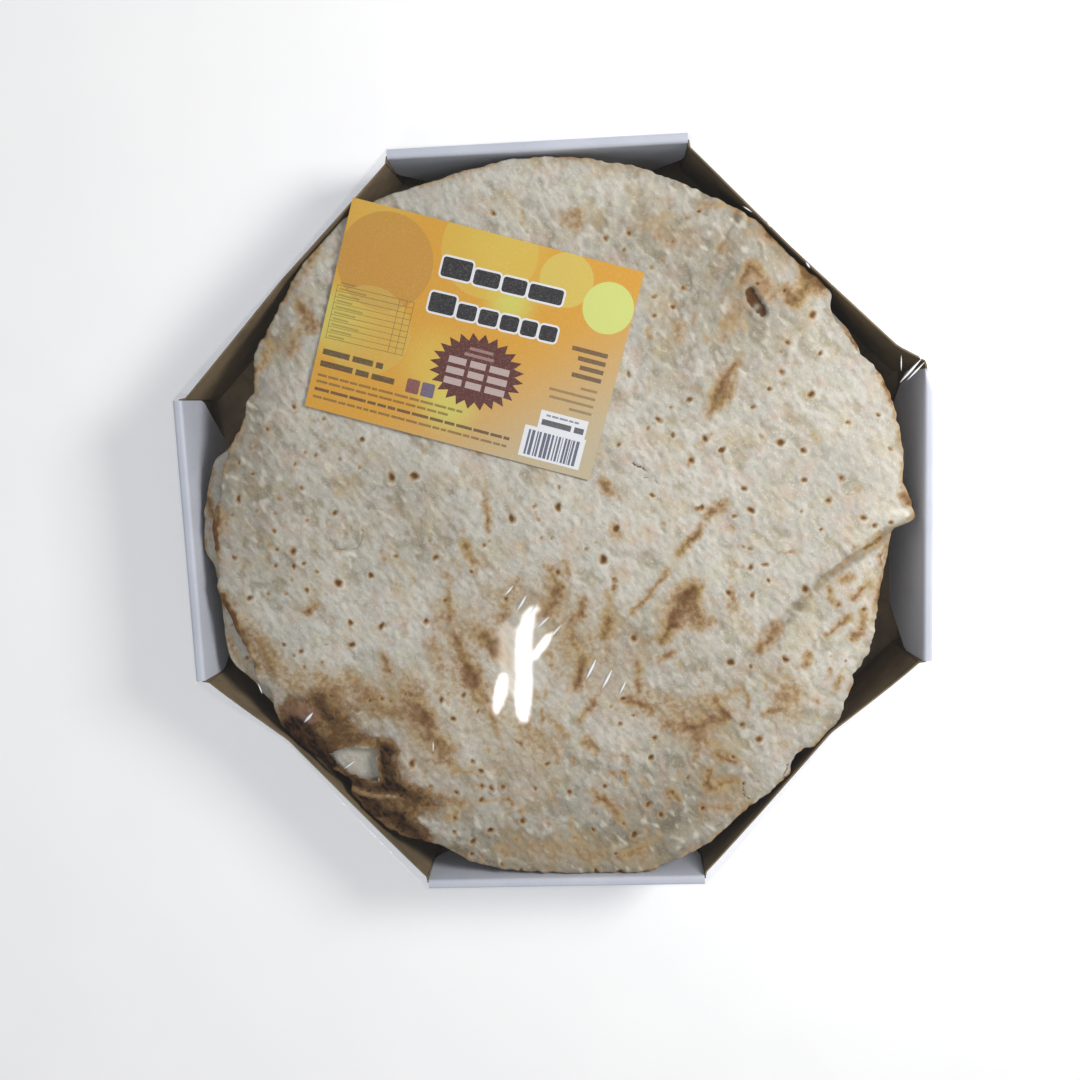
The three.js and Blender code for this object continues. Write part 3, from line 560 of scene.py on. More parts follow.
class Look:
    """A node material with short ways to add the nodes it needs."""

    def __init__(self, name):
        self.material = bpy.data.materials.new(name)
        self.material.use_nodes = True
        self.tree = self.material.node_tree
        self.tree.nodes.clear()
        self.output = self.tree.nodes.new("ShaderNodeOutputMaterial")

    def node(self, kind, values=None, **settings):
        made = self.tree.nodes.new(kind)
        for title, value in settings.items():
            setattr(made, title, value)
        for key, value in (values or {}).items():
            socket = made.inputs[key]
            if isinstance(value, bpy.types.NodeSocket):
                self.tree.links.new(value, socket)
            else:
                socket.default_value = value
        return made

    def place(self, stretch=(1, 1, 1), turn=0.0):
        """Position in millimetres, turned about Z and stretched."""
        coordinates = self.node("ShaderNodeTexCoord").outputs["Object"]
        turned = self.node("ShaderNodeVectorRotate", {"Vector": coordinates, "Angle": math.radians(turn)},
                           rotation_type="Z_AXIS").outputs[0]
        scale = [1 / (MM * s) for s in stretch]
        return self.node("ShaderNodeVectorMath", {0: turned, 1: scale}, operation="MULTIPLY").outputs[0]

    def noise(self, size, detail=2.0, stretch=(1, 1, 1), turn=0.0, rough=0.5):
        """Noise with features of about this size in millimetres."""
        return self.node("ShaderNodeTexNoise", {
            "Vector": self.place(stretch, turn), "Scale": 1 / size, "Detail": detail, "Roughness": rough,
        }).outputs["Fac"]

    def value(self, title):
        return self.node("ShaderNodeAttribute", attribute_name=title).outputs["Fac"]

    def math(self, operation, first, second=0.0):
        return self.node("ShaderNodeMath", {0: first, 1: second}, operation=operation).outputs[0]

    def spread(self, value, low, high, new_low=0.0, new_high=1.0):
        """The value with its range from low to high eased on to a new range."""
        return self.node("ShaderNodeMapRange", {
            "Value": value, "From Min": low, "From Max": high, "To Min": new_low, "To Max": new_high,
        }, interpolation_type="SMOOTHSTEP").outputs["Result"]

    def mix(self, share, first, second, blend="MIX"):
        made = self.node("ShaderNodeMix", data_type="RGBA", blend_type=blend)
        for socket, value in ((made.inputs[0], share), (made.inputs[6], first), (made.inputs[7], second)):
            if isinstance(value, bpy.types.NodeSocket):
                self.tree.links.new(value, socket)
            else:
                socket.default_value = value
        return made.outputs[2]

    def over(self, under, value, low, high, colour, share=1.0):
        """The colour laid over what is under it where the value goes from low to high."""
        return self.mix(self.spread(value, low, high, 0.0, share), under, colour)

    def ragged(self, value, noise, amount):
        """The value with noise of mean one half added to it."""
        swing = self.math("MULTIPLY_ADD", noise, amount)
        swing.node.inputs[2].default_value = -amount / 2
        return self.math("ADD", value, swing)

    def broken(self, value, noise):
        """The value with gaps where the noise is low, none where the value is high."""
        depth = self.spread(value, 0.35, 0.85, 0.75, 0.12)
        gaps = self.math("MULTIPLY", self.math("SUBTRACT", 1.0, noise), depth)
        return self.math("MULTIPLY", value, self.math("SUBTRACT", 1.08, gaps))

    def bump(self, height, distance, strength=1.0, normal=None):
        values = {"Height": height, "Distance": distance * MM, "Strength": strength}
        if normal is not None:
            values["Normal"] = normal
        return self.node("ShaderNodeBump", values).outputs["Normal"]

    def finish(self, values):
        shader = self.node("ShaderNodeBsdfPrincipled", values)
        self.tree.links.new(shader.outputs[0], self.output.inputs["Surface"])
        return self.material


def crust_look():
    look = Look("baked_crust")
    fine = look.noise(1.2, 3.0)
    grain = look.noise(2.4, 3.0, stretch=(1.8, 1, 1), turn=50)
    mottle = look.noise(4.5, 2.5, rough=0.55)
    blush = look.noise(9.0, 1.0)
    warm = look.noise(17.0, 2.0, rough=0.6)
    patchy = look.spread(look.noise(2.6, 1.0), 0.40, 0.60)
    broad = look.noise(30.0, 3.0)
    tone_and_shade = look.ragged(look.value("tone_and_shade"), mottle, 0.5)
    dough = tint(211, 207, 197)
    for value, low, high, colour, share in (
            (broad, 0.35, 0.65, tint(194, 190, 180), 1.0),
            (grain, 0.44, 0.72, tint(172, 166, 150), 0.6),
            # painted shade in the hollows of the relief, and on the lower breads random darker grain
            (look.value("hollow_shade_and_grain"), 0.12, 1.0, tint(152, 142, 120), 0.66),
            (blush, 0.50, 0.74, tint(206, 186, 170), 0.6),
            (blush, 0.50, 0.26, tint(197, 193, 168), 0.4),
            (warm, 0.48, 0.72, tint(194, 175, 134), 0.45),
            (warm, 0.48, 0.28, tint(190, 187, 180), 0.3),
            (mottle, 0.56, 0.78, tint(190, 172, 138), 0.45),
            (fine, 0.57, 0.72, tint(234, 230, 216), 0.5),
            # painted highlight on the lower right side of the spots' rims
            (look.value("raised_lip_and_rim_highlight"), 0.2, 1.0, tint(230, 223, 206), 0.6)):
        dough = look.over(dough, value, low, high, colour, share)
    # Painted shade and greyer crust: the colour is multiplied down by the painted shade and tone field
    dough = look.mix(look.spread(tone_and_shade, 0.0, 1.0, 0.0, 0.9), dough, SHADE, "MULTIPLY")
    # pale flake, and painted highlights on the tip, lips, crests of the knobs and film glints
    dough = look.over(dough, look.value("pale"), 0.2, 0.9, tint(232, 227, 212), 0.85)
    dough = look.over(dough, look.value("toast"), 0.06, 0.60, tint(188, 164, 128), 0.55)
    toast = look.broken(look.value("toast"), patchy)
    toast = look.ragged(look.ragged(toast, mottle, 0.34), fine, 0.14)
    hue = look.spread(blush, 0.35, 0.65)
    spot = look.ragged(look.value("spot"), fine, 0.12)
    scorch = look.ragged(look.value("scorch"), mottle, 0.6)
    scorch = look.ragged(scorch, fine, 0.25)
    golden = look.mix(hue, tint(177, 149, 105), tint(163, 133, 99))
    brown = look.mix(hue, tint(112, 82, 46), tint(110, 72, 44))
    burnt = look.mix(look.spread(mottle, 0.40, 0.62), tint(106, 77, 46), tint(150, 120, 80))
    char = look.mix(look.spread(grain, 0.42, 0.60), tint(28, 15, 8), tint(74, 49, 29))
    colour = dough
    for value, low, high, over in (
            (toast, 0.12, 0.72, golden),
            (toast, 0.54, 1.08, brown),
            (spot, 0.12, 0.50, tint(176, 146, 108)),
            (spot, 0.36, 0.78, tint(106, 76, 46)),
            (scorch, 0.10, 0.50, burnt),
            (scorch, 0.52, 0.95, char)):
        colour = look.over(colour, value, low, high, over)
    colour = look.over(colour, look.value("pink"), 0.2, 1.0, tint(164, 126, 112), 0.6)
    # Dark cracks, and painted shade in a fold and along the lower left edge
    colour = look.over(colour, look.value("crack_and_crease_shade"), 0.25, 0.9, tint(90, 60, 32))
    height = look.math("ADD", look.math("MULTIPLY", fine, 0.4), grain)
    return look.finish({
        "Base Color": colour, "Roughness": look.spread(mottle, 0.3, 0.7, 0.6, 0.85),
        "Specular IOR Level": 0.14, "Normal": look.bump(height, 0.5, 0.8),
    })


def white_card_look():
    look = Look("white_card")
    fibre = look.noise(1.4, 3.0, stretch=(1, 1, 4))
    cloud = look.noise(26.0, 3.0)
    colour = look.over(tint(209, 213, 225), cloud, 0.35, 0.68, tint(202, 206, 219))
    colour = look.over(colour, fibre, 0.55, 0.75, tint(186, 189, 201), 0.25)
    return look.finish({
        "Base Color": colour, "Roughness": 0.46, "Specular IOR Level": 0.4,
        "Normal": look.bump(fibre, 0.12, 0.5),
    })


def kraft_look():
    look = Look("kraft_card")
    fibre = look.noise(0.9, 3.0, stretch=(5, 5, 1))
    cloud = look.noise(18.0, 3.0)
    colour = look.over(tint(134, 116, 89), cloud, 0.32, 0.7, tint(110, 95, 72))
    colour = look.over(colour, fibre, 0.5, 0.75, tint(94, 80, 60), 0.5)
    return look.finish({
        "Base Color": colour, "Roughness": 0.7, "Specular IOR Level": 0.3,
        "Normal": look.bump(fibre, 0.15, 0.6),
    })


def label_look():
    look = Look("printed_card")
    ink = look.node("ShaderNodeAttribute", attribute_name="print").outputs["Color"]
    grain = look.noise(0.7, 2.0)
    return look.finish({
        "Base Color": look.over(ink, grain, 0.45, 0.75, tint(255, 250, 236), 0.08),
        "Roughness": 0.42, "Specular IOR Level": 0.45, "Normal": look.bump(grain, 0.03, 0.4),
    })


def film_look():
    """Clear film that mirrors more at a slant, with the index turned round on back faces."""
    look = Look("clear_film")
    streak = look.noise(5.0, 2.0, stretch=(1, 7, 1), turn=-28)
    ripple = look.noise(22.0, 1.0)
    normal = look.bump(look.math("ADD", look.math("MULTIPLY", streak, 0.3), ripple), 0.012, 1.0)
    behind = look.node("ShaderNodeNewGeometry").outputs["Backfacing"]
    power = look.math("SUBTRACT", 1.0, look.math("MULTIPLY", behind, 2.0))
    index = look.math("POWER", FILM_INDEX, power)
    sheen = look.node("ShaderNodeFresnel", {"IOR": index, "Normal": normal}).outputs[0]
    gloss = look.node("ShaderNodeBsdfGlossy", {
        "Color": (1, 1, 1, 1), "Roughness": 0.035, "Normal": normal,
    })
    clear = look.node("ShaderNodeBsdfTransparent", {"Color": (0.985, 0.987, 0.99, 1)})
    both = look.node("ShaderNodeMixShader", {0: sheen, 1: clear.outputs[0], 2: gloss.outputs[0]})
    look.tree.links.new(both.outputs[0], look.output.inputs["Surface"])
    return look.material


def glint_crease_look():
    """Film painted white along a sharp crease, as a painted glint."""
    look = Look("creased_film_glint")
    cloud = look.noise(1.5, 2.0)
    return look.finish({
        "Base Color": look.mix(cloud, tint(246, 250, 253), tint(253, 254, 255)),
        "Roughness": 0.25, "Specular IOR Level": 0.6,
    })


# Camera, light and floor


def make_camera():
    data = bpy.data.cameras.new("camera")
    data.sensor_width = SENSOR
    data.lens = SENSOR * FOCAL_PIXELS / IMAGE_SIZE
    data.clip_start = 0.02
    data.clip_end = 20
    camera = bpy.data.objects.new("camera", data)
    turn = Matrix((CAMERA_RIGHT, CAMERA_UP, -CAMERA_FORWARD)).transposed()
    camera.matrix_world = Matrix.Translation(CAMERA_PLACE * MM) @ turn.to_4x4()
    bpy.context.scene.collection.objects.link(camera)
    bpy.context.scene.camera = camera


def area_light(name, place, size, power, aim=None, turn=0.0, colour=(1, 1, 1), shape="RECTANGLE"):
    """A flat lamp that looks at a point, or straight down and turned about Z."""
    data = bpy.data.lights.new(name, "AREA")
    data.shape = shape
    data.size, data.size_y = size
    data.energy = power
    data.color = colour
    lamp = bpy.data.objects.new(name, data)
    lamp.location = place
    if aim is None:
        lamp.rotation_euler = (0, 0, math.radians(turn))
    else:
        lamp.rotation_euler = (Vector(aim) - Vector(place)).to_track_quat("-Z", "Y").to_euler()
    bpy.context.scene.collection.objects.link(lamp)


def glare_lamp(name, px, py, width, length, turn, shape, share):
    """A lamp high above the pack whose mirror image in the film has this place and size.

    A dim one hangs higher, behind the bright ones.
    """
    height = GLARE_HEIGHT * (2 - share)
    spot = on_film(px, py)
    level = TRAY_TOP + FILM_CROWN
    ratio = (height - level) / (CAMERA_PLACE.z - level)
    place = spot + ratio * (spot - CAMERA_PLACE.to_2d())
    size = [MM * (1 + ratio) * extent for extent in (width, length)]
    power = GLARE_POWER * share * size[0] * size[1]
    area_light(name, (*(MM * place), MM * height), size, power, turn=turn, shape=shape)


def make_light():
    """A soft key lamp, a pale sky and the narrow lamps whose mirror image is the glare on the film."""
    scene = bpy.context.scene
    scene.view_settings.view_transform = "Standard"
    world = bpy.data.worlds.new("studio")
    world.use_nodes = True
    sky = world.node_tree.nodes["Background"]
    sky.inputs["Color"].default_value = SKY_COLOUR
    sky.inputs["Strength"].default_value = SKY_STRENGTH
    scene.world = world
    area_light("key", KEY_PLACE, KEY_SIZE, KEY_POWER, aim=KEY_AIM, colour=KEY_COLOUR)
    for i, row in enumerate(GLARE):
        glare_lamp(f"strip_{i + 1}", *row)


def make_floor():
    body = Body()
    steps = np.linspace(-FLOOR_REACH, FLOOR_REACH, 13)
    body.grid([[(x, y, FLOOR_HEIGHT) for x in steps] for y in steps])
    mesh = bpy.data.meshes.new("floor")
    mesh.from_pydata([tuple(MM * c for c in point) for point in body.points], [], body.faces)
    look = Look("pale_floor")
    cloud = look.noise(60.0, 3.0)
    mesh.materials.append(look.finish({
        "Base Color": look.over((0.95, 0.95, 0.95, 1), cloud, 0.3, 0.7, (0.93, 0.93, 0.935, 1)),
        "Roughness": 0.9, "Emission Color": (1, 1, 1, 1), "Emission Strength": 0.2,
    }))
    floor = bpy.data.objects.new("floor", mesh)
    bpy.context.scene.collection.objects.link(floor)


# Breads


def radius_on(outline, degrees):
    """Radii at angles on the closed smooth curve through pairs of angle and radius."""
    count = len(outline)
    angles = np.array([a for a, _ in outline], float)
    radii = np.array([r for _, r in outline], float)
    angles = np.concatenate((angles[-2:] - 360, angles, angles[:2] + 360))
    radii = np.concatenate((radii[-2:], radii, radii[:2]))
    wrapped = np.mod(degrees, 360)
    k = np.searchsorted(angles, wrapped, side="right")
    k = np.clip(k, 2, count + 2)
    a, b, c, d = k - 2, k - 1, k, np.minimum(k + 1, count + 3)
    span = angles[c] - angles[b]
    t = (wrapped - angles[b]) / span
    slope_in = (radii[c] - radii[a]) / (angles[c] - angles[a]) * span
    slope_out = (radii[d] - radii[b]) / (angles[d] - angles[b]) * span
    return ((2 * t ** 3 - 3 * t ** 2 + 1) * radii[b] + (t ** 3 - 2 * t ** 2 + t) * slope_in
            + (3 * t ** 2 - 2 * t ** 3) * radii[c] + (t ** 3 - t ** 2) * slope_out)


def pulled_in(place, depth, at):
    place = np.asarray(place, float)
    reach = np.where(place < at, at + DIAGONAL_HALF, DIAGONAL_HALF - at)
    share = np.maximum(0, 1 - np.abs(place - at) / reach)
    return depth * share ** 1.2


def room_in_tray(degrees, height):
    """Largest radii that stay clear of the tray's walls at a height."""
    lean = FLAP_LEAN * max(0, 1 - height / TRAY_TOP)
    straight = HALF_ACROSS - ROLL_WIDTH - lean - 2 * GAP
    angle = np.radians(degrees)
    room = straight / np.maximum(np.abs(np.cos(angle)), np.abs(np.sin(angle)))
    for wall in DIAGONALS:
        aside = angle - math.radians(wall["turn"])
        facing = np.cos(aside) > 0.7
        place = DIAGONAL_OFFSET * np.tan(np.where(facing, aside, 0))
        away = DIAGONAL_OFFSET - height / TRAY_TOP * pulled_in(place, wall["bow"], wall["at"])
        limit = (away - CARD - 2 * GAP) / np.cos(np.where(facing, aside, 0))
        room = np.where(facing, np.minimum(room, limit), room)
    return room


def radius_at(x, y, angle, radius):
    """Radius of a closed outline in the direction of each point."""
    degrees = np.mod(np.degrees(np.arctan2(y, x)), 360)
    return np.interp(degrees, np.degrees(angle), radius, period=360)


def hidden_radius(degrees, layer):
    """Radius of a bread whose edge doesn't show."""
    a = np.radians(degrees)
    return (BREAD_RADIUS + 2.6 * np.sin(2 * a + 1.9 * layer) + 1.7 * np.sin(5 * a + 2.7 * layer)
            + 1.1 * np.sin(9 * a + 4.1 * layer))


def swell(x, y):
    return 0.35 * np.sin(x / 31 + 0.6) * np.cos(y / 37 - 0.4) + 0.25 * np.sin((x + y) / 23 + 1.1)


def pleat_drop(x, y):
    """Height lost beyond the pleat, height of its lip, and distance from its line."""
    drop = np.zeros(len(x))
    lip = np.zeros(len(x))
    nearest = np.full(len(x), np.inf)
    stretches = len(PLEAT) - 1
    for i in range(stretches):
        away, share, side = from_segment(x, y, PLEAT[i], PLEAT[i + 1])
        fade = 1 - (i + share) / stretches
        reach = smooth(-np.sign(side) * away, -0.8, 3.0)
        recover = 1 - smooth(away, 25, 75)
        raised_lip_and_rim_highlight = np.exp(-((np.sign(side) * away - 2.2) / 2.6) ** 2) * 0.9 * fade
        closer = away < nearest
        drop = np.where(closer, FOLD_STEP * fade ** 0.8 * reach * recover, drop)
        lip = np.where(closer, raised_lip_and_rim_highlight, lip)
        nearest = np.minimum(nearest, away)
    return drop, lip, nearest


def crumb(x, y, seed=0.0):
    """Low relief of a baked face: slanting ridges, bumps and grit."""
    ridges = 0.34 * field(x, y, 2.5, 5.6, GRAIN_TURN, 3.1 + seed)
    bumps = 0.36 * field(x, y, 3.2, 5.0, GRAIN_TURN + 4, 7.7 + seed)
    grit = 0.22 * field(x, y, 1.8, seed=1.3 + seed)
    return ridges + bumps + grit


def unevenness(x, y):
    return 0.42 * field(x, y, 15.0, 25.0, GRAIN_TURN + 2, 5.2) + 0.20 * field(x, y, 7.0, seed=15.2)


def spot_list():
    """Spots of the top bread in millimetres: place, radius, depth, stretch and its direction."""
    spots = []
    for group, radius, depth in ((STRONG_SPOTS, 4.0, 1.0), (SPOTS, 3.2, 0.88), (FAINT_SPOTS, 2.5, 0.7)):
        for px, py in group:
            place = on_face(px, py)
            size = radius * PIXEL * RANDOM.uniform(0.8, 1.2)
            shade = depth * RANDOM.uniform(0.88, 1.05)
            spots.append((*place, size, shade, RANDOM.uniform(1.0, 1.3), RANDOM.uniform(0, math.pi)))
    named = len(spots)
    while len(spots) < named + PINPRICK_COUNT:
        angle, reach = RANDOM.uniform(0, 2 * math.pi), 172 * math.sqrt(RANDOM.random())
        x, y = reach * math.cos(angle), reach * math.sin(angle)
        if min(math.hypot(x - s[0], y - s[1]) for s in spots) < PINPRICK_SPACING:
            continue
        spots.append((x, y, RANDOM.uniform(0.9, 1.5), RANDOM.uniform(0.22, 0.5), 1.2, angle))
    return spots


def fleck_list():
    """Small faint toasted flecks anywhere on the face, in pixels: from, to, half width and depth."""
    flecks = []
    for _ in range(FLECK_COUNT):
        px, py = RANDOM.uniform(225, 905), RANDOM.triangular(205, 875, 780)
        turn, length = RANDOM.uniform(-1.9, -0.5), RANDOM.uniform(2.0, 13.0)
        half, depth = RANDOM.uniform(1.6, 4.0), RANDOM.uniform(0.2, 0.55)
        if py > DEEP_FLECKS_BELOW:
            depth *= 1.5
        flecks.append((px, py, px + length * math.cos(turn), py - length * math.sin(turn), half, depth))
    return flecks


def spot_fields(x, y, spots):
    """Relief, darkness, and a painted highlight on the lower right side of the rim round the spots."""
    relief = np.zeros(len(x))
    dark = np.zeros(len(x))
    raised_lip_and_rim_highlight = np.zeros(len(x))
    x, y = warped(x, y, 0.9, 2.6, 90.0)
    for sx, sy, radius, depth, stretch, turn in spots:
        reach = 2.6 * radius * stretch
        near = np.flatnonzero((np.abs(x - sx) < reach) & (np.abs(y - sy) < reach))
        dx, dy = x[near] - sx, y[near] - sy
        along = (dx * math.cos(turn) + dy * math.sin(turn)) / stretch
        across = (dy * math.cos(turn) - dx * math.sin(turn)) * stretch
        away = np.hypot(along, across) / radius
        ring = np.exp(-((away - 1.35) / 0.4) ** 2) * depth
        relief[near] += 0.26 * ring - 0.8 * depth * (1 - smooth(away, 0.2, 1.1))
        dark[near] = np.maximum(dark[near], depth * np.exp(-(1.1 * away) ** 1.7))
        # Painted highlight: the rim is paler on its lower right side, where the light catches it
        aside = np.clip((dx - dy) / (np.hypot(dx, dy) + 1e-6) / math.sqrt(2), 0, 1)
        raised_lip_and_rim_highlight[near] = np.maximum(raised_lip_and_rim_highlight[near], (0.3 + 0.7 * aside) * ring)
    return relief, dark, raised_lip_and_rim_highlight


def crack_field(x, y):
    depth = np.zeros(len(x))
    x, y = warped(x, y, 0.8, 3.6, 110.0)
    for line, half, strength in CRACKS:
        away = from_line(x, y, [on_face(*point) for point in line])
        depth = np.maximum(depth, strength * (1 - smooth(away, 0, 1.3 * half * PIXEL)))
    return depth


def blister_distance(x, y):
    """Distance in millimetres from the rim of the burst blister, below nothing inside it."""
    wx, wy = warped(x, y, 0.7, 4.5, 33.0)
    away = np.full(len(x), np.inf)
    for px, py, radius in BLISTER_HOLE:
        place = on_face(px, py)
        away = np.minimum(away, np.hypot(wx - place.x, wy - place.y) - radius * PIXEL)
    return away


def refined_loop(loop, step, jitter):
    """The loop with more corners, a little ragged."""
    result = []
    for i, start in enumerate(loop):
        start, end = Vector(start), Vector(loop[(i + 1) % len(loop)])
        count = max(1, round((end - start).length / step))
        across = (end - start).orthogonal().normalized()
        for k in range(count):
            offset = across * RANDOM.uniform(-jitter, jitter)
            result.append(tuple(start.lerp(end, k / count) + offset))
    return result


def top_outline_loop():
    """Angles and radii of the top bread's ragged edge."""
    degrees = np.arange(RIM_CORNERS) * 360 / RIM_CORNERS
    radius = radius_on(TOP_OUTLINE, degrees)
    angle = np.radians(degrees)
    x, y = 178 * np.cos(angle), 178 * np.sin(angle)
    radius = radius + 0.9 * field(x, y, 6.0, seed=2.2) + 0.6 * field(x, y, 2.4, seed=9.4)
    radius = np.minimum(radius, room_in_tray(degrees, 44))
    return angle, radius


def top_face(x, y, from_edge, hole):
    """Height of the top bread's face, and what its colours follow."""
    drop, lip, pleat = pleat_drop(x, y)
    from_hole = from_loop(x, y, hole)
    relief, spot, raised_lip_and_rim_highlight = spot_fields(x, y, spot_list())
    crack_and_crease_shade = crack_field(x, y)
    blister = blister_distance(x, y)
    curl = from_line(x, y, [on_face(*point) for point in CURLED_LIP])
    base = crumb(x, y)
    broad = unevenness(x, y)
    lumps = field(x, y, 5.6, 12.0, GRAIN_TURN + 2, 18.4)
    knobs = np.clip(1.5 * field(x, y, 2.3, 4.8, GRAIN_TURN, 27.5) + 0.1, 0, 1)
    toast = np.maximum(streak_field(x, y, STREAKS), streak_field(x, y, fleck_list()))
    scorch = streak_field(x, y, SCORCH, 1.7)
    pale = streak_field(x, y, PALE_AND_HIGHLIGHTS, 1.4)

    sink = EDGE_DROP * np.maximum(0, 1 - from_edge / EDGE_BAND) ** 2
    lift = 0.55 * field(x, y, 11.0, seed=4.4) * (1 - smooth(from_edge, 0, 14))
    height = TOP_CROWN + swell(x, y) - sink - drop + lip + lift
    height = height + broad + 0.30 * lumps + 0.20 * knobs
    height = height + base * (1 - 0.5 * smooth(scorch, 0.3, 0.9)) + relief
    height = height + 0.5 * scorch * field(x, y, 9.0, seed=6.1)
    height = height - 1.9 * (1 - smooth(from_hole, 0, 16)) + 0.5 * np.exp(-(from_hole / 1.4) ** 2)
    height = height - 0.8 * crack_and_crease_shade - 1.7 * (1 - smooth(blister, -1.6, 0.6))
    height = height + 0.5 * np.exp(-((blister - 1.4) / 1.2) ** 2)
    height = height + 0.9 * np.exp(-(curl / 1.8) ** 2) - 0.8 * np.exp(-((curl - 4.4) / 2.2) ** 2)

    # Painted shade: darker near the edge, where the face drops away, and along the valley below the pleat,
    # in the tone and, a little, in the toast
    on_pleat = np.exp(-(pleat / 4.2) ** 2) * smooth(drop + lip, 0.1, 1.0)
    tone_and_shade = streak_field(x, y, SHADE_AND_TONE_STROKES, 2.1) + 0.34 * (1 - smooth(from_edge, 0, 9)) + 0.6 * on_pleat
    tone_and_shade = np.clip(tone_and_shade, 0, 1)
    # Painted highlight on the tops of the knobs, stronger where the crust is painted darker
    crest_highlight = 0.62 * knobs * (0.72 + 0.40 * tone_and_shade) * (1 - smooth(toast + scorch, 0.2, 0.7))
    middle = on_face(*BLISTER_MIDDLE)
    from_middle = np.hypot(x - middle.x, y - middle.y)
    # Dark brown inside the burst blister, paler in its middle as a painted highlight
    pit = (0.9 - 0.50 * np.exp(-(from_middle / 1.7) ** 2)) * (1 - smooth(blister, -1.2, 0.5))
    edge_toast = 0.7 * (1 - smooth(from_edge, 0, 4.5)) * smooth(field(x, y, 15.0, seed=8.8), -0.2, 0.4)
    toast = np.maximum(toast, 0.75 * np.exp(-(curl / 1.2) ** 2)) + edge_toast + 0.34 * on_pleat
    # Painted shade: the crust is darker in the hollows of its relief, more so where it is painted darker
    hollow_shade_and_grain = -1.5 * base - 1.3 * broad - 1.1 * lumps
    fields = (
        np.clip(toast, 0, 1) * (1 - 0.85 * pale),
        np.clip(scorch * (1 - 0.7 * np.exp(-(curl / 1.4) ** 2)), 0, 1),
        spot, raised_lip_and_rim_highlight, streak_field(x, y, PINK_EDGE),
        np.clip(np.maximum(crack_and_crease_shade, pit), 0, 1),
        np.clip(hollow_shade_and_grain * (1 + 1.6 * tone_and_shade), 0, 1),
        tone_and_shade, np.maximum(pale, crest_highlight),
    )
    return height, dict(zip(CRUST_FIELDS, fields))


def make_top_bread(crust):
    underside = FIRST_UNDERSIDE + (BREAD_COUNT - 1) * BREAD_STEP
    angle, radius = top_outline_loop()
    cos, sin = np.cos(angle), np.sin(angle)
    face_radius = radius - RIM_ROUNDING
    outer = [tuple(p) for p in np.stack((face_radius * cos, face_radius * sin), axis=1)]
    hole = refined_loop(TORN_HOLE, 1.1, 0.45)
    x, y = hex_points(FACE_STEP, GRID_REACH)
    keep = np.hypot(x, y) < radius_at(x, y, angle, radius) - RIM_ROUNDING - 0.6 * FACE_STEP
    x, y = x[keep], y[keep]
    keep = (from_loop(x, y, hole) > 0.5 * FACE_STEP) & ~inside(x, y, hole)
    flat, faces, (rim, torn) = triangulate([outer, hole], np.stack((x[keep], y[keep]), axis=1))
    x, y = flat[:, 0], flat[:, 1]
    height, fields = top_face(x, y, radius_at(x, y, angle, radius) - np.hypot(x, y), hole)
    height = np.minimum(height, film_height(x, y) - FILM_ROOM)
    height = np.where(on_label(x, y), np.minimum(height, label_underside(x, y) - LABEL_ROOM), height)

    body = Body()
    body.add(np.stack((x, y, height), axis=1), faces)
    extra = {title: list(values) for title, values in fields.items()}

    def carry(indices):
        """Gives new corners the fields of these ones."""
        for values in extra.values():
            values.extend([values[i] for i in indices])

    previous = rim
    for inset, depth in ((0.35, 0.4), (0.0, 0.5 * EDGE_THICKNESS), (0.5, EDGE_THICKNESS - 0.7)):
        ring = np.stack(((radius - inset) * cos, (radius - inset) * sin, height[rim] - depth), axis=1)
        start = body.add(ring, [])
        current = list(range(start, start + len(ring)))
        body.bridge(previous, current)
        carry(rim)
        previous = current

    gx, gy = hex_points(UNDER_STEP, GRID_REACH)
    keep = (np.hypot(gx, gy) < radius_at(gx, gy, angle, radius) - 5) & (from_loop(gx, gy, hole) > 3)
    keep &= ~inside(gx, gy, hole)
    loops = [[body.points[i][:2] for i in previous], hole]
    under, under_faces, (under_rim, under_torn) = triangulate(
        loops, np.stack((gx[keep], gy[keep]), axis=1))
    ux, uy = under[:, 0], under[:, 1]
    level = np.full(len(ux), underside)
    level[under_rim] = [body.points[i][2] - 0.7 for i in previous]
    level[under_torn] = np.maximum(underside, height[torn] - 2.0)
    start = body.add(np.stack((ux, uy, level), axis=1), [face[::-1] for face in under_faces])
    corner = np.round(np.degrees(np.arctan2(uy, ux)) * (RIM_CORNERS / 360))
    carry([rim[int(k)] for k in np.mod(corner, RIM_CORNERS)])
    body.bridge(previous, [start + i for i in under_rim])
    body.bridge([start + i for i in under_torn], torn)
    body.piece("bread_top", [crust], ["naan_top"], extra)


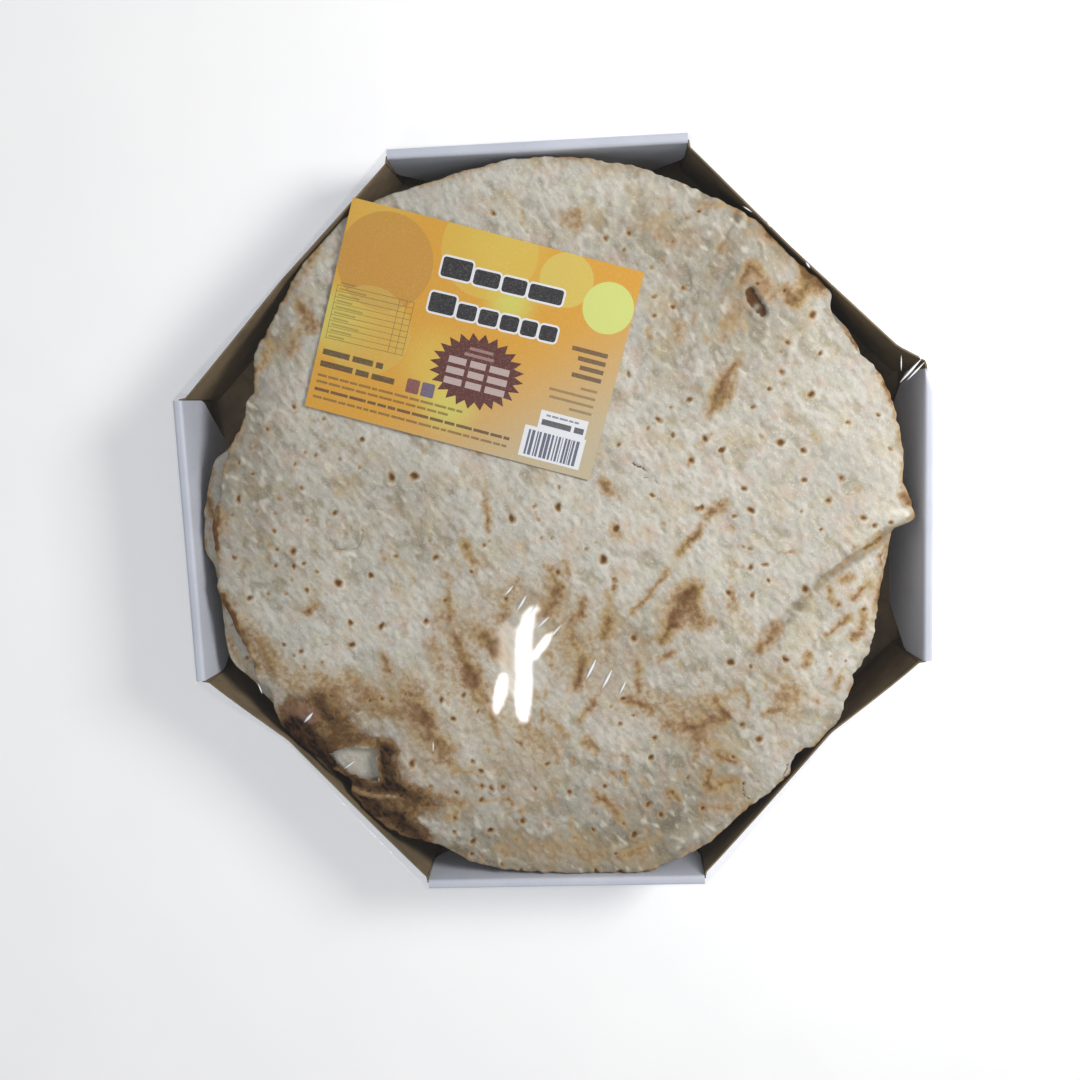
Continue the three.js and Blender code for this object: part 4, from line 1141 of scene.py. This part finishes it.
def lower_bread(layer, sectors, band_step, crust):
    """A bread under the top one: fine towards its edge, coarse where it is covered."""
    underside = FIRST_UNDERSIDE + layer * BREAD_STEP
    upper = underside + BREAD_STEP - GAP
    second = layer == BREAD_COUNT - 2
    degrees = np.arange(sectors) * 360 / sectors
    angle = np.radians(degrees)
    cos, sin = np.cos(angle), np.sin(angle)
    radius = radius_on(SECOND_OUTLINE, degrees) if second else hidden_radius(degrees, layer)
    radius = radius + 0.8 * field(175 * cos, 175 * sin, 6.0, seed=20.0 + layer)
    radius = np.minimum(radius, room_in_tray(degrees, underside))
    hole_x, hole_y = np.array(TORN_HOLE).mean(axis=0)
    rings = []
    for inset in (120.0, 80.0, 45.0, *np.arange(1.0, 30.0, band_step)[::-1]):
        x, y = (radius - inset) * cos, (radius - inset) * sin
        sag = 1.9 * max(0, 1 - inset / 9.0) ** 2
        relief = 0.55 * np.clip(crumb(x, y, 30.0 + layer), -1, 0.9) * smooth(60 - inset, 0, 25)
        z = upper - 0.45 - sag + relief
        if second:
            z = z + 2.3 * np.exp(-(np.hypot(x - hole_x, y - hole_y) / 24) ** 4)
            z = np.minimum(z, upper + 2.4)
        rings.append(list(zip(x, y, z)))
    for inset, level in ((0.3, upper - 1.6), (0.0, upper - 2.9), (0.5, upper - 4.4), (3.0, underside + 1.2),
                         (12.0, underside), (90.0, underside)):
        rings.append([(x, y, level) for x, y in zip((radius - inset) * cos, (radius - inset) * sin)])
    body = Body()
    start = body.grid(rings, closed=True)
    top = body.add([(0, 0, upper - 0.4)], [])
    foot = body.add([(0, 0, underside)], [])
    last = start + (len(rings) - 1) * sectors
    for i in range(sectors):
        j = (i + 1) % sectors
        body.faces += [(top, start + j, start + i), (foot, last + i, last + j)]
        body.kinds += [0, 0]
    x, y = np.array(body.points)[:, :2].T
    rim = np.concatenate((np.tile(radius, len(rings)), [BREAD_RADIUS, BREAD_RADIUS]))
    from_edge = rim - np.hypot(x, y)
    patch = field(x, y, 12.0, seed=41.0 + layer)
    toast = np.clip(0.62 * (1 - smooth(from_edge, 0, 5)) * smooth(patch, -0.15, 0.35), 0, 1)
    if second:
        toast = np.maximum(toast, streak_field(x, y, SECOND_STREAKS, height=SECOND_FACE_HEIGHT))
    covered = smooth(np.hypot(x - hole_x, y - hole_y), 20, 28)
    fields = {title: np.zeros(len(x)) for title in CRUST_FIELDS}
    fields["toast"] = toast * covered
    fields["spot"] = np.clip(1.6 * field(x, y, 3.4, seed=50.0 + layer) - 0.45, 0, 0.8) * covered
    # Random darker grain on the lower breads, through the field that carries painted shade in the top
    # bread's hollows
    fields["hollow_shade_and_grain"] = np.clip(-0.8 * field(x, y, 4.0, seed=60.0 + layer), 0, 1) * covered
    # Lower breads painted darker all over, partly as painted shade under the top bread, and less inside the
    # torn hole
    fields["tone_and_shade"] = 0.3 * covered + 0.22 * (1 - covered)
    body.piece(f"bread_{layer + 1}", [crust], [f"naan_{layer + 1}"], fields)


# Tray


def turned(point, degrees):
    c, s = math.cos(math.radians(degrees)), math.sin(math.radians(degrees))
    return (point[0] * c - point[1] * s, point[0] * s + point[1] * c)


def diagonal_line(wall, height_share):
    """Places along a slanting wall at a share of its height."""
    facing = math.radians(wall["turn"])
    line = []
    for place in np.linspace(-DIAGONAL_HALF, DIAGONAL_HALF, 49):
        away = DIAGONAL_OFFSET - height_share * float(pulled_in(place, wall["bow"], wall["at"]))
        past = max(0.0, -place - FLARE_START) / (DIAGONAL_HALF - FLARE_START)
        away += height_share * wall["flare"] * past
        line.append((away * math.cos(facing) - place * math.sin(facing),
                     away * math.sin(facing) + place * math.cos(facing)))
    return line


def panel(body, outer_rows, kinds):
    """A card panel from rows of points on its outer face, given thickness towards the pack's axis."""
    rows = np.array(outer_rows)
    along = np.gradient(rows, axis=1)
    up = np.gradient(rows, axis=0)
    inward = np.cross(up, along)
    inward /= np.linalg.norm(inward, axis=2, keepdims=True)
    inner = rows + CARD * inward
    out_kind, in_kind, edge_kind = kinds
    body.grid(rows.tolist(), out_kind)
    body.grid(inner.tolist(), in_kind, flip=True)
    for first, second in ((rows[0], inner[0]), (inner[-1], rows[-1])):
        body.grid([second.tolist(), first.tolist()], edge_kind)
    for first, second in ((rows[:, 0], inner[:, 0]), (inner[:, -1], rows[:, -1])):
        body.grid([first.tolist(), second.tolist()], edge_kind)


def slanting_wall(body, wall):
    """One slanting wall with its two tabs, which are bent sharply and caught inside the straight walls."""
    bend = (TAB_PLACE, HALF_WALL + 0.6)
    tip = (TAB_PLACE, HALF_WALL - TAB_LENGTH)
    turn = wall["turn"] - 45
    first_bend, first_tip = turned(bend, turn), turned(tip, turn)
    last_bend, last_tip = turned(bend[::-1], turn), turned(tip[::-1], turn)
    parts = ([], [], [], [], [])
    for share in np.linspace(0, 1, 13):
        line = diagonal_line(wall, share)
        z = TRAY_FOOT + share * (DIAGONAL_TOP - TRAY_FOOT)
        stretches = ((first_tip, first_bend), (first_bend, line[0]), line,
                     (line[-1], last_bend), (last_bend, last_tip))
        for rows, stretch in zip(parts, stretches):
            rows.append([(x, y, z) for x, y in stretch])
    for rows in parts:
        panel(body, rows, (0, 1, 1))


def make_tray(white, kraft):
    body = Body()
    for wall in DIAGONALS:
        slanting_wall(body, wall)
    for wall in DIAGONALS:
        straight_wall(body, wall["turn"] - 45)
    corners = []
    for wall in DIAGONALS:
        line = diagonal_line(wall, 0)
        corners += [line[0], line[-1]]
        corners += [turned((HALF_ACROSS - 0.2, side * HALF_WALL), wall["turn"] + 45) for side in (-1, 1)]
    count = len(corners)
    body.add([(x, y, TRAY_FOOT + CARD) for x, y in corners], [range(count)], 1)
    start = body.add([(x, y, TRAY_FOOT) for x, y in corners], [range(count - 1, -1, -1)], 0)
    body.bridge(list(range(start - count, start)), list(range(start, start + count)), 0)
    tray = body.piece("card_tray", [white, kraft], ["tray"], smooth_shading=False)
    bevel = tray.modifiers.new("soft_edges", "BEVEL")
    bevel.width = 0.12 * MM
    bevel.segments = 2
    bevel.limit_method = "ANGLE"


def straight_wall(body, turn):
    """Outer panel, rolled rim and leaning inner flap of one straight wall."""
    outer, inner = HALF_ACROSS, HALF_ACROSS - ROLL_WIDTH
    flap_top = TRAY_TOP - RIM_BEND
    outline = [(outer, TRAY_FOOT), (outer, flap_top)]
    for centre, angles in ((outer - RIM_BEND, range(18, 91, 18)), (inner + RIM_BEND, range(90, 181, 18))):
        for angle in angles:
            a = math.radians(angle)
            outline.append((centre + RIM_BEND * math.cos(a), flap_top + RIM_BEND * math.sin(a)))
    flap = [(inner - FLAP_LEAN * share, flap_top - share * (flap_top - TRAY_FOOT - CARD))
            for share in np.linspace(0, 1, 14)[1:]]
    wave = [0.25 * math.sin(0.09 * s * HALF_WALL + turn) for s in np.linspace(-1, 1, WALL_COLUMNS)]

    def row(x, z, half, ripple):
        """Points across the wall at a height, drawn in at one end where the film pinches it."""
        pinch = (PINCH if turn == 0 else 0.0) * max(0.0, x - inner) / ROLL_WIDTH * (z / TRAY_TOP) ** 2
        points = []
        for s, bow in zip(np.linspace(-half, half, WALL_COLUMNS), wave):
            away = x - ripple * bow * 0.5 - ripple * 0.1 - pinch * float(smooth(s, 61, 73))
            points.append((*turned((away, s), turn), z))
        return points

    def half_at(z):
        """Half length of the flap at a height: its lower corners are cut off."""
        low = TRAY_FOOT + FLAP_CHAMFER + 2
        return HALF_WALL - max(0.0, (low - z) * FLAP_CHAMFER / (FLAP_CHAMFER + 2))

    outer_rows = [row(x, z, HALF_WALL, 0.0) for x, z in outline]
    flap_rows = [row(x, z, half_at(z), 1.0 - (z - 1) / TRAY_TOP) for x, z in flap]
    panel(body, outer_rows + flap_rows, (0, 0, 1))


# Label


def label_place(u, v):
    """Point in the pack's frame of a point on the label, measured from its lower left corner."""
    x, y = u - LABEL_SIZE[0] / 2, v - LABEL_SIZE[1] / 2
    c, s = math.cos(LABEL_TURN), math.sin(LABEL_TURN)
    return LABEL_CENTRE[0] + x * c - y * s, LABEL_CENTRE[1] + x * s + y * c


def on_label(x, y, margin=2.0):
    dx, dy = x - LABEL_CENTRE[0], y - LABEL_CENTRE[1]
    c, s = math.cos(LABEL_TURN), math.sin(LABEL_TURN)
    u, v = dx * c + dy * s, dy * c - dx * s
    return (np.abs(u) < LABEL_SIZE[0] / 2 + margin) & (np.abs(v) < LABEL_SIZE[1] / 2 + margin)


def label_underside(x, y):
    beyond = np.maximum(0, np.hypot(x, y) - LABEL_FLAT_RADIUS)
    return LABEL_UNDERSIDE - LABEL_DROP * (beyond / (HALF_ACROSS - LABEL_FLAT_RADIUS)) ** 2


def bar(u, v, width, height, slant=0.0):
    return [(u, v), (u + width, v + slant), (u + width, v + slant + height), (u, v + height)]


def rounded_bar(u, v, width, height, radius, slant=0.0):
    points = []
    right, top = u + width - radius, v + height - radius
    for cu, cv, first in ((right, v + radius, -90), (right, top, 0), (u + radius, top, 90),
                          (u + radius, v + radius, 180)):
        for k in range(6):
            a = math.radians(first + 18 * k)
            pu, pv = cu + radius * math.cos(a), cv + radius * math.sin(a)
            points.append((pu, pv + slant * (pu - u) / width))
    return points


def disc(u, v, radius, count=48):
    turn = 2 * math.pi / count
    return [(u + radius * math.cos(i * turn), v + radius * math.sin(i * turn)) for i in range(count)]


def burst(u, v, width, height, points, depth):
    loop = []
    for i in range(2 * points):
        reach = 1 if i % 2 == 0 else depth
        a = math.pi * i / points
        loop.append((u + width * reach * math.cos(a), v + height * reach * math.sin(a)))
    return loop


def word_row(u0, u1, v, height, colour, share=1.0):
    """Short plain bars in a row, with gaps as between words."""
    shapes = []
    u = u0
    while u < u1 - 2:
        width = min(RANDOM.uniform(3.0, 9.0) * height / 1.5, u1 - u)
        shapes.append((bar(u, v, width, height), colour, share))
        u += width + 0.55 * height
    return shapes


def label_shapes():
    """The print, from the ground up: outline in label millimetres, colour and cover."""
    ink, white = tint(46, 44, 48), tint(236, 238, 242)
    maroon, soft = tint(98, 50, 44), tint(206, 186, 182)
    shapes = [
        (disc(23, 79, 24), tint(203, 150, 62), 0.9),
        (disc(72, 97, 24), tint(222, 196, 84), 0.55),
        (disc(112, 92, 13.3), tint(220, 205, 104), 0.7),
        (disc(135.2, 84, 12.6), tint(216, 226, 130), 0.95),
        (disc(22, 44, 22), tint(214, 190, 96), 0.45),
        (burst(80, 38, 24, 18.8, 24, 0.8), maroon, 1.0),
    ]
    for grow, colour in ((1.0, white), (0.0, ink)):
        for start, v, widths in ((51, 79.0, (15, 13, 12, 17)), (49, 61.0, (13, 9.5, 9.5, 9, 8, 8.5))):
            u = start
            for k, width in enumerate(widths):
                height = 9.6 if k == 0 else 7.4
                shapes.append((rounded_bar(u - grow, v - grow, width + 2 * grow, height + 2 * grow,
                                           1.4 + grow, 0.3), colour, 1.0))
                u += width + 1.5
    for k, v in enumerate((44.5, 47.6)):
        shapes.append((bar(72 + 2 * k, v, 15 - 3 * k, 1.5), tint(176, 140, 134), 0.8))
    for v in (39.4, 34.2, 29.0):
        for u, width in ((65, 9), (76, 8), (86, 10)):
            shapes.append((bar(u, v, width, 3.3), soft, 0.85))
    for k in range(10):
        v = 35.5 + 2.95 * k
        shapes.append((bar(2.6, v, 39.5, 0.32, 0.9), tint(120, 104, 60), 0.75))
        shapes.append((bar(4.0, v + 1.0, 8 + 3 * (k % 3), 0.9), tint(124, 106, 62), 0.5))
    for u in (2.6, 34.5, 38.2, 41.8):
        shapes.append((bar(u, 35.5 + 0.02 * u, 0.32, 26.7), tint(120, 104, 60), 0.75))
    shapes += word_row(3, 34, 27.4, 2.9, tint(64, 52, 44), 0.85)
    shapes += word_row(3, 43, 21.4, 2.9, tint(64, 52, 44), 0.85)
    shapes.append((rounded_bar(47.5, 19.6, 6.6, 7.0, 0.8), tint(122, 66, 86), 0.9))
    shapes.append((rounded_bar(55.2, 19.6, 6.6, 7.0, 0.8), tint(96, 84, 128), 0.9))
    for v, end in ((16.4, 78), (13.2, 72), (5.4, 104)):
        shapes += word_row(3, end, v, 1.25, tint(112, 84, 50), 0.7)
    shapes += word_row(3, 104, 9.2, 1.5, tint(84, 64, 44), 0.85)
    for v, start in ((60.2, 123), (56.0, 127), (51.8, 129), (47.6, 126)):
        shapes.append((bar(start, v, 141 - start, 2.2), tint(76, 62, 50), 0.8))
    for v, start in ((42.4, 132), (38.6, 117), (34.9, 118), (31.2, 129)):
        shapes.append((bar(start, v, 140.5 - start, 1.3), tint(112, 92, 66), 0.6))
    shapes.append((bar(110, 3.6, 31.2, 15.6), white, 1.0))
    shapes.append((bar(116, 19.0, 24.2, 9.2), white, 1.0))
    shapes += word_row(117.5, 139, 21.0, 2.9, tint(58, 60, 70), 0.9)
    shapes += word_row(119, 138, 25.6, 1.0, tint(110, 112, 122), 0.8)
    u = 112.4
    while u < 138:
        width = RANDOM.choice((0.45, 0.7, 1.1, 1.6))
        shapes.append((bar(u, 4.8, width, 12.6), tint(78, 84, 108), 0.92))
        u += width + RANDOM.choice((0.45, 0.7, 1.0))
    return shapes


def ground_colour(u, v):
    """The label's ground: orange, yellower to the middle and tan at its lower right corner."""
    orange, yellow, tan, lime = (np.array(tint(*shade)[:3]) for shade in (
        (222, 164, 54), (224, 200, 92), (198, 184, 152), (214, 218, 108)))
    to_tan = smooth(u * 0.95 - v * 1.15, 20, 128)[:, None]
    colour = orange * (1 - to_tan) + tan * to_tan
    glows = ((4, 46, 24, lime, 0.7), (88, 75, 17, lime, 0.8), (70, 20, 21, lime, 0.7),
             (60, 36, 26, yellow, 0.6), (80, 100, 30, yellow, 0.5), (14, 100, 26, yellow, 0.35))
    for cu, cv, reach, shade, depth in glows:
        near = depth * (1 - smooth(np.hypot(u - cu, v - cv), 0.15 * reach, reach))[:, None]
        colour = colour * (1 - near) + shade * near
    return colour


def make_label():
    shapes = label_shapes()
    width, height = LABEL_SIZE
    inset = 0.12
    across, down = width - 2 * inset, height - 2 * inset
    outer = [(inset + across * k / 60, inset) for k in range(60)]
    outer += [(width - inset, inset + down * k / 42) for k in range(42)]
    outer += [(width - inset - across * k / 60, height - inset) for k in range(60)]
    outer += [(inset, height - inset - down * k / 42) for k in range(42)]
    points = [Vector(p) for p in outer]
    edges = loop_edges(0, len(outer))
    for u in np.arange(2.4, width - 1, 2.4):
        points += [Vector((u, v)) for v in np.arange(2.4, height - 1, 2.4)]
    for loop, _, _ in shapes:
        edges += loop_edges(len(points), len(loop))
        for u, v in loop:
            u = min(max(u, 2 * inset), width - 2 * inset)
            points.append(Vector((u, min(max(v, 2 * inset), height - 2 * inset))))
    found, _, faces, _, _, _ = delaunay_2d_cdt(points, edges, [], 1, 1e-5, False)
    flat = np.array([tuple(p) for p in found])
    faces = np.array(faces)
    corners = flat[faces]
    middle = corners.mean(axis=1)
    colours = ground_colour(corners[:, :, 0].ravel(), corners[:, :, 1].ravel()).reshape(len(faces), 3, 3)
    for loop, colour, share in shapes:
        within = inside(middle[:, 0], middle[:, 1], loop)
        colours[within] = colours[within] * (1 - share) + np.array(colour[:3]) * share
    x, y = label_place(flat[:, 0], flat[:, 1])
    body = Body()
    body.add(np.stack((x, y, label_underside(x, y) + LABEL_CARD), axis=1), faces)
    grid, under_faces, (rim,) = triangulate([outer], [
        (u, v) for u in np.arange(8, width - 4, 8.0) for v in np.arange(8, height - 4, 8.0)])
    x, y = label_place(grid[:, 0], grid[:, 1])
    start = body.add(np.stack((x, y, label_underside(x, y)), axis=1), [f[::-1] for f in under_faces])
    first = [int(np.argmin(np.hypot(flat[:, 0] - u, flat[:, 1] - v))) for u, v in outer]
    body.bridge(first, [start + i for i in rim])
    label = body.piece("label_sheet", [label_look()], ["label_card"], smooth_shading=False)
    values = np.tile(tint(226, 222, 212), (len(label.data.loops), 1))
    printed = colours.reshape(-1, 3)
    values[: len(printed), :3] = printed
    layer = label.data.color_attributes.new("print", "FLOAT_COLOR", "CORNER")
    layer.data.foreach_set("color", values.ravel().astype(np.float32))


# Film


def film_plan(height_share, steps=40):
    """Outline of the film at a share of the pack's height."""
    away = GAP + FILM / 2
    corner = (HALF_ACROSS + HALF_WALL) / math.sqrt(2)
    half = (HALF_ACROSS - HALF_WALL) / math.sqrt(2)
    points = []
    for wall in DIAGONALS:
        tight = height_share * (corner - DIAGONAL_OFFSET - 2 * GAP + wall["bow"])
        for place in np.linspace(-half, half, steps + 1):
            distance = corner - float(pulled_in(place, tight, wall["at"])) + away
            points.append(turned((distance, place), wall["turn"]))
        for along in np.linspace(-HALF_WALL, HALF_WALL, steps + 1)[1:-1]:
            points.append(turned((HALF_ACROSS + away, along), wall["turn"] + 45))
    return np.array(points)


def film_height(x, y):
    """Height of the film over the pack, about as in the CAD source."""
    across = np.maximum(np.abs(x), np.abs(y)) / HALF_ACROSS
    slant = (np.abs(x) + np.abs(y)) / math.sqrt(2) / DIAGONAL_OFFSET
    share = np.clip(np.maximum(across, slant), 0, 1)
    return TRAY_TOP + GAP + FILM / 2 + FILM_CROWN * (1 - share ** 8)


def on_film(px, py):
    """Point in millimetres where a pixel of the photograph meets the film."""
    place = on_face(px, py, TRAY_TOP + FILM_CROWN)
    for _ in range(3):
        place = on_face(px, py, float(film_height(place.x, place.y)))
    return place


def film_folds():
    """Low folds that run in from the pack's eight corners: start, end, half width and height."""
    folds = []
    for wall in DIAGONALS:
        turn = wall["turn"] - 45
        for side in (-1, 1):
            corner = Vector(turned((HALF_ACROSS, side * HALF_WALL), turn))
            for _ in range(4):
                goal = Vector(turned((RANDOM.uniform(20, 90), RANDOM.uniform(-60, 60)), turn))
                end = corner.lerp(goal, RANDOM.uniform(0.12, 0.45))
                folds.append((corner, end, RANDOM.uniform(1.6, 2.6), RANDOM.uniform(0.1, 0.3)))
    return folds


def film_relief(x, y):
    """Folds and slow ripples of the film."""
    lift = 0.03 * field(x, y, 18.0, 40.0, 60, 12.0) + 0.01 * field(x, y, 6.0, 20.0, 60, 14.0)
    for start, end, half, tall in film_folds():
        away, share, _ = from_segment(x, y, start, end)
        lift = lift + tall * np.exp(-(away / half) ** 2) * np.sin(np.pi * np.clip(share, 0.02, 0.98))
    middle = on_film(*GLARE[0][:2])
    return np.clip(lift, -0.2, 0.3) * smooth(np.hypot(x - middle.x, y - middle.y), 20, 70)


def crease(body, start, end, half, kind):
    """A fine three-sided ridge on the film that tapers to both ends, drawn in the white material of painted
    glints.
    """
    across = (end - start).orthogonal().normalized()
    rows = []
    for share in np.linspace(0, 1, 9):
        middle = start.lerp(end, share)
        width = half * (0.1 + 0.9 * math.sin(math.pi * share))
        base = float(film_height(middle.x, middle.y)) - CREASE_DEPTH
        left, right = middle - across * width, middle + across * width
        rows.append([(*left, base), (*right, base), (*middle, base + 0.2 + 0.25 * width)])
    first = body.grid(rows, kind, closed=True)
    last = first + 3 * (len(rows) - 1)
    body.faces += [(first + 2, first + 1, first), (last, last + 1, last + 2)]
    body.kinds += [kind, kind]


def make_film():
    rim_plan, foot_plan = film_plan(1), film_plan(0)
    rim, foot = TRAY_TOP + GAP + FILM / 2, TRAY_FOOT - GAP - FILM / 2
    edge_share = 1 - FILM_EASE / HALF_ACROSS
    edge = rim_plan * edge_share
    x, y = hex_points(FILM_STEP, HALF_ACROSS)
    keep = inside(x, y, edge)
    x, y = x[keep], y[keep]
    keep = from_loop(x, y, edge) > 1.2
    flat, faces, (border,) = triangulate([edge.tolist()], np.stack((x[keep], y[keep]), axis=1))
    x, y = flat[:, 0], flat[:, 1]
    away = from_loop(x, y, edge)
    height = rim + (film_height(x, y) - 0.2 - rim) * smooth(away, 0, 12)
    height = height + film_relief(x, y) * smooth(away, 0, 10)
    body = Body()
    body.add(np.stack((x, y, height), axis=1), faces)
    rows = []
    for drop in np.linspace(0, 1, 18):
        plan = rim_plan * (1 - drop) + foot_plan * drop
        rows.append((plan, rim - FILM_EASE - drop * (rim - foot - 2 * FILM_EASE)))
    for share in (edge_share, 0.9, 0.5, 0.02):
        rows.append((foot_plan * share, foot))
    start = body.grid([[(px, py, z) for px, py in plan] for plan, z in rows], closed=True)
    count = len(rim_plan)
    body.bridge(border, list(range(start, start + count)))
    last = start + (len(rows) - 1) * count
    body.faces.append(tuple(range(last + count - 1, last - 1, -1)))
    body.kinds.append(0)
    # Creases in the white material, as painted highlights where the film glints
    for x0, y0, x1, y1, half in CREASES:
        crease(body, on_film(x0, y0), on_film(x1, y1), half, 1)
    wrap = body.piece("film_wrap", [film_look(), glint_crease_look()], ["film"])
    wrap.visible_shadow = False


make_camera()
make_light()
make_floor()
baked = crust_look()
for lower in range(BREAD_COUNT - 2):
    lower_bread(lower, sectors=240, band_step=4.0, crust=baked)
lower_bread(BREAD_COUNT - 2, sectors=900, band_step=1.3, crust=baked)
make_top_bread(baked)
make_tray(white_card_look(), kraft_look())
make_label()
make_film()
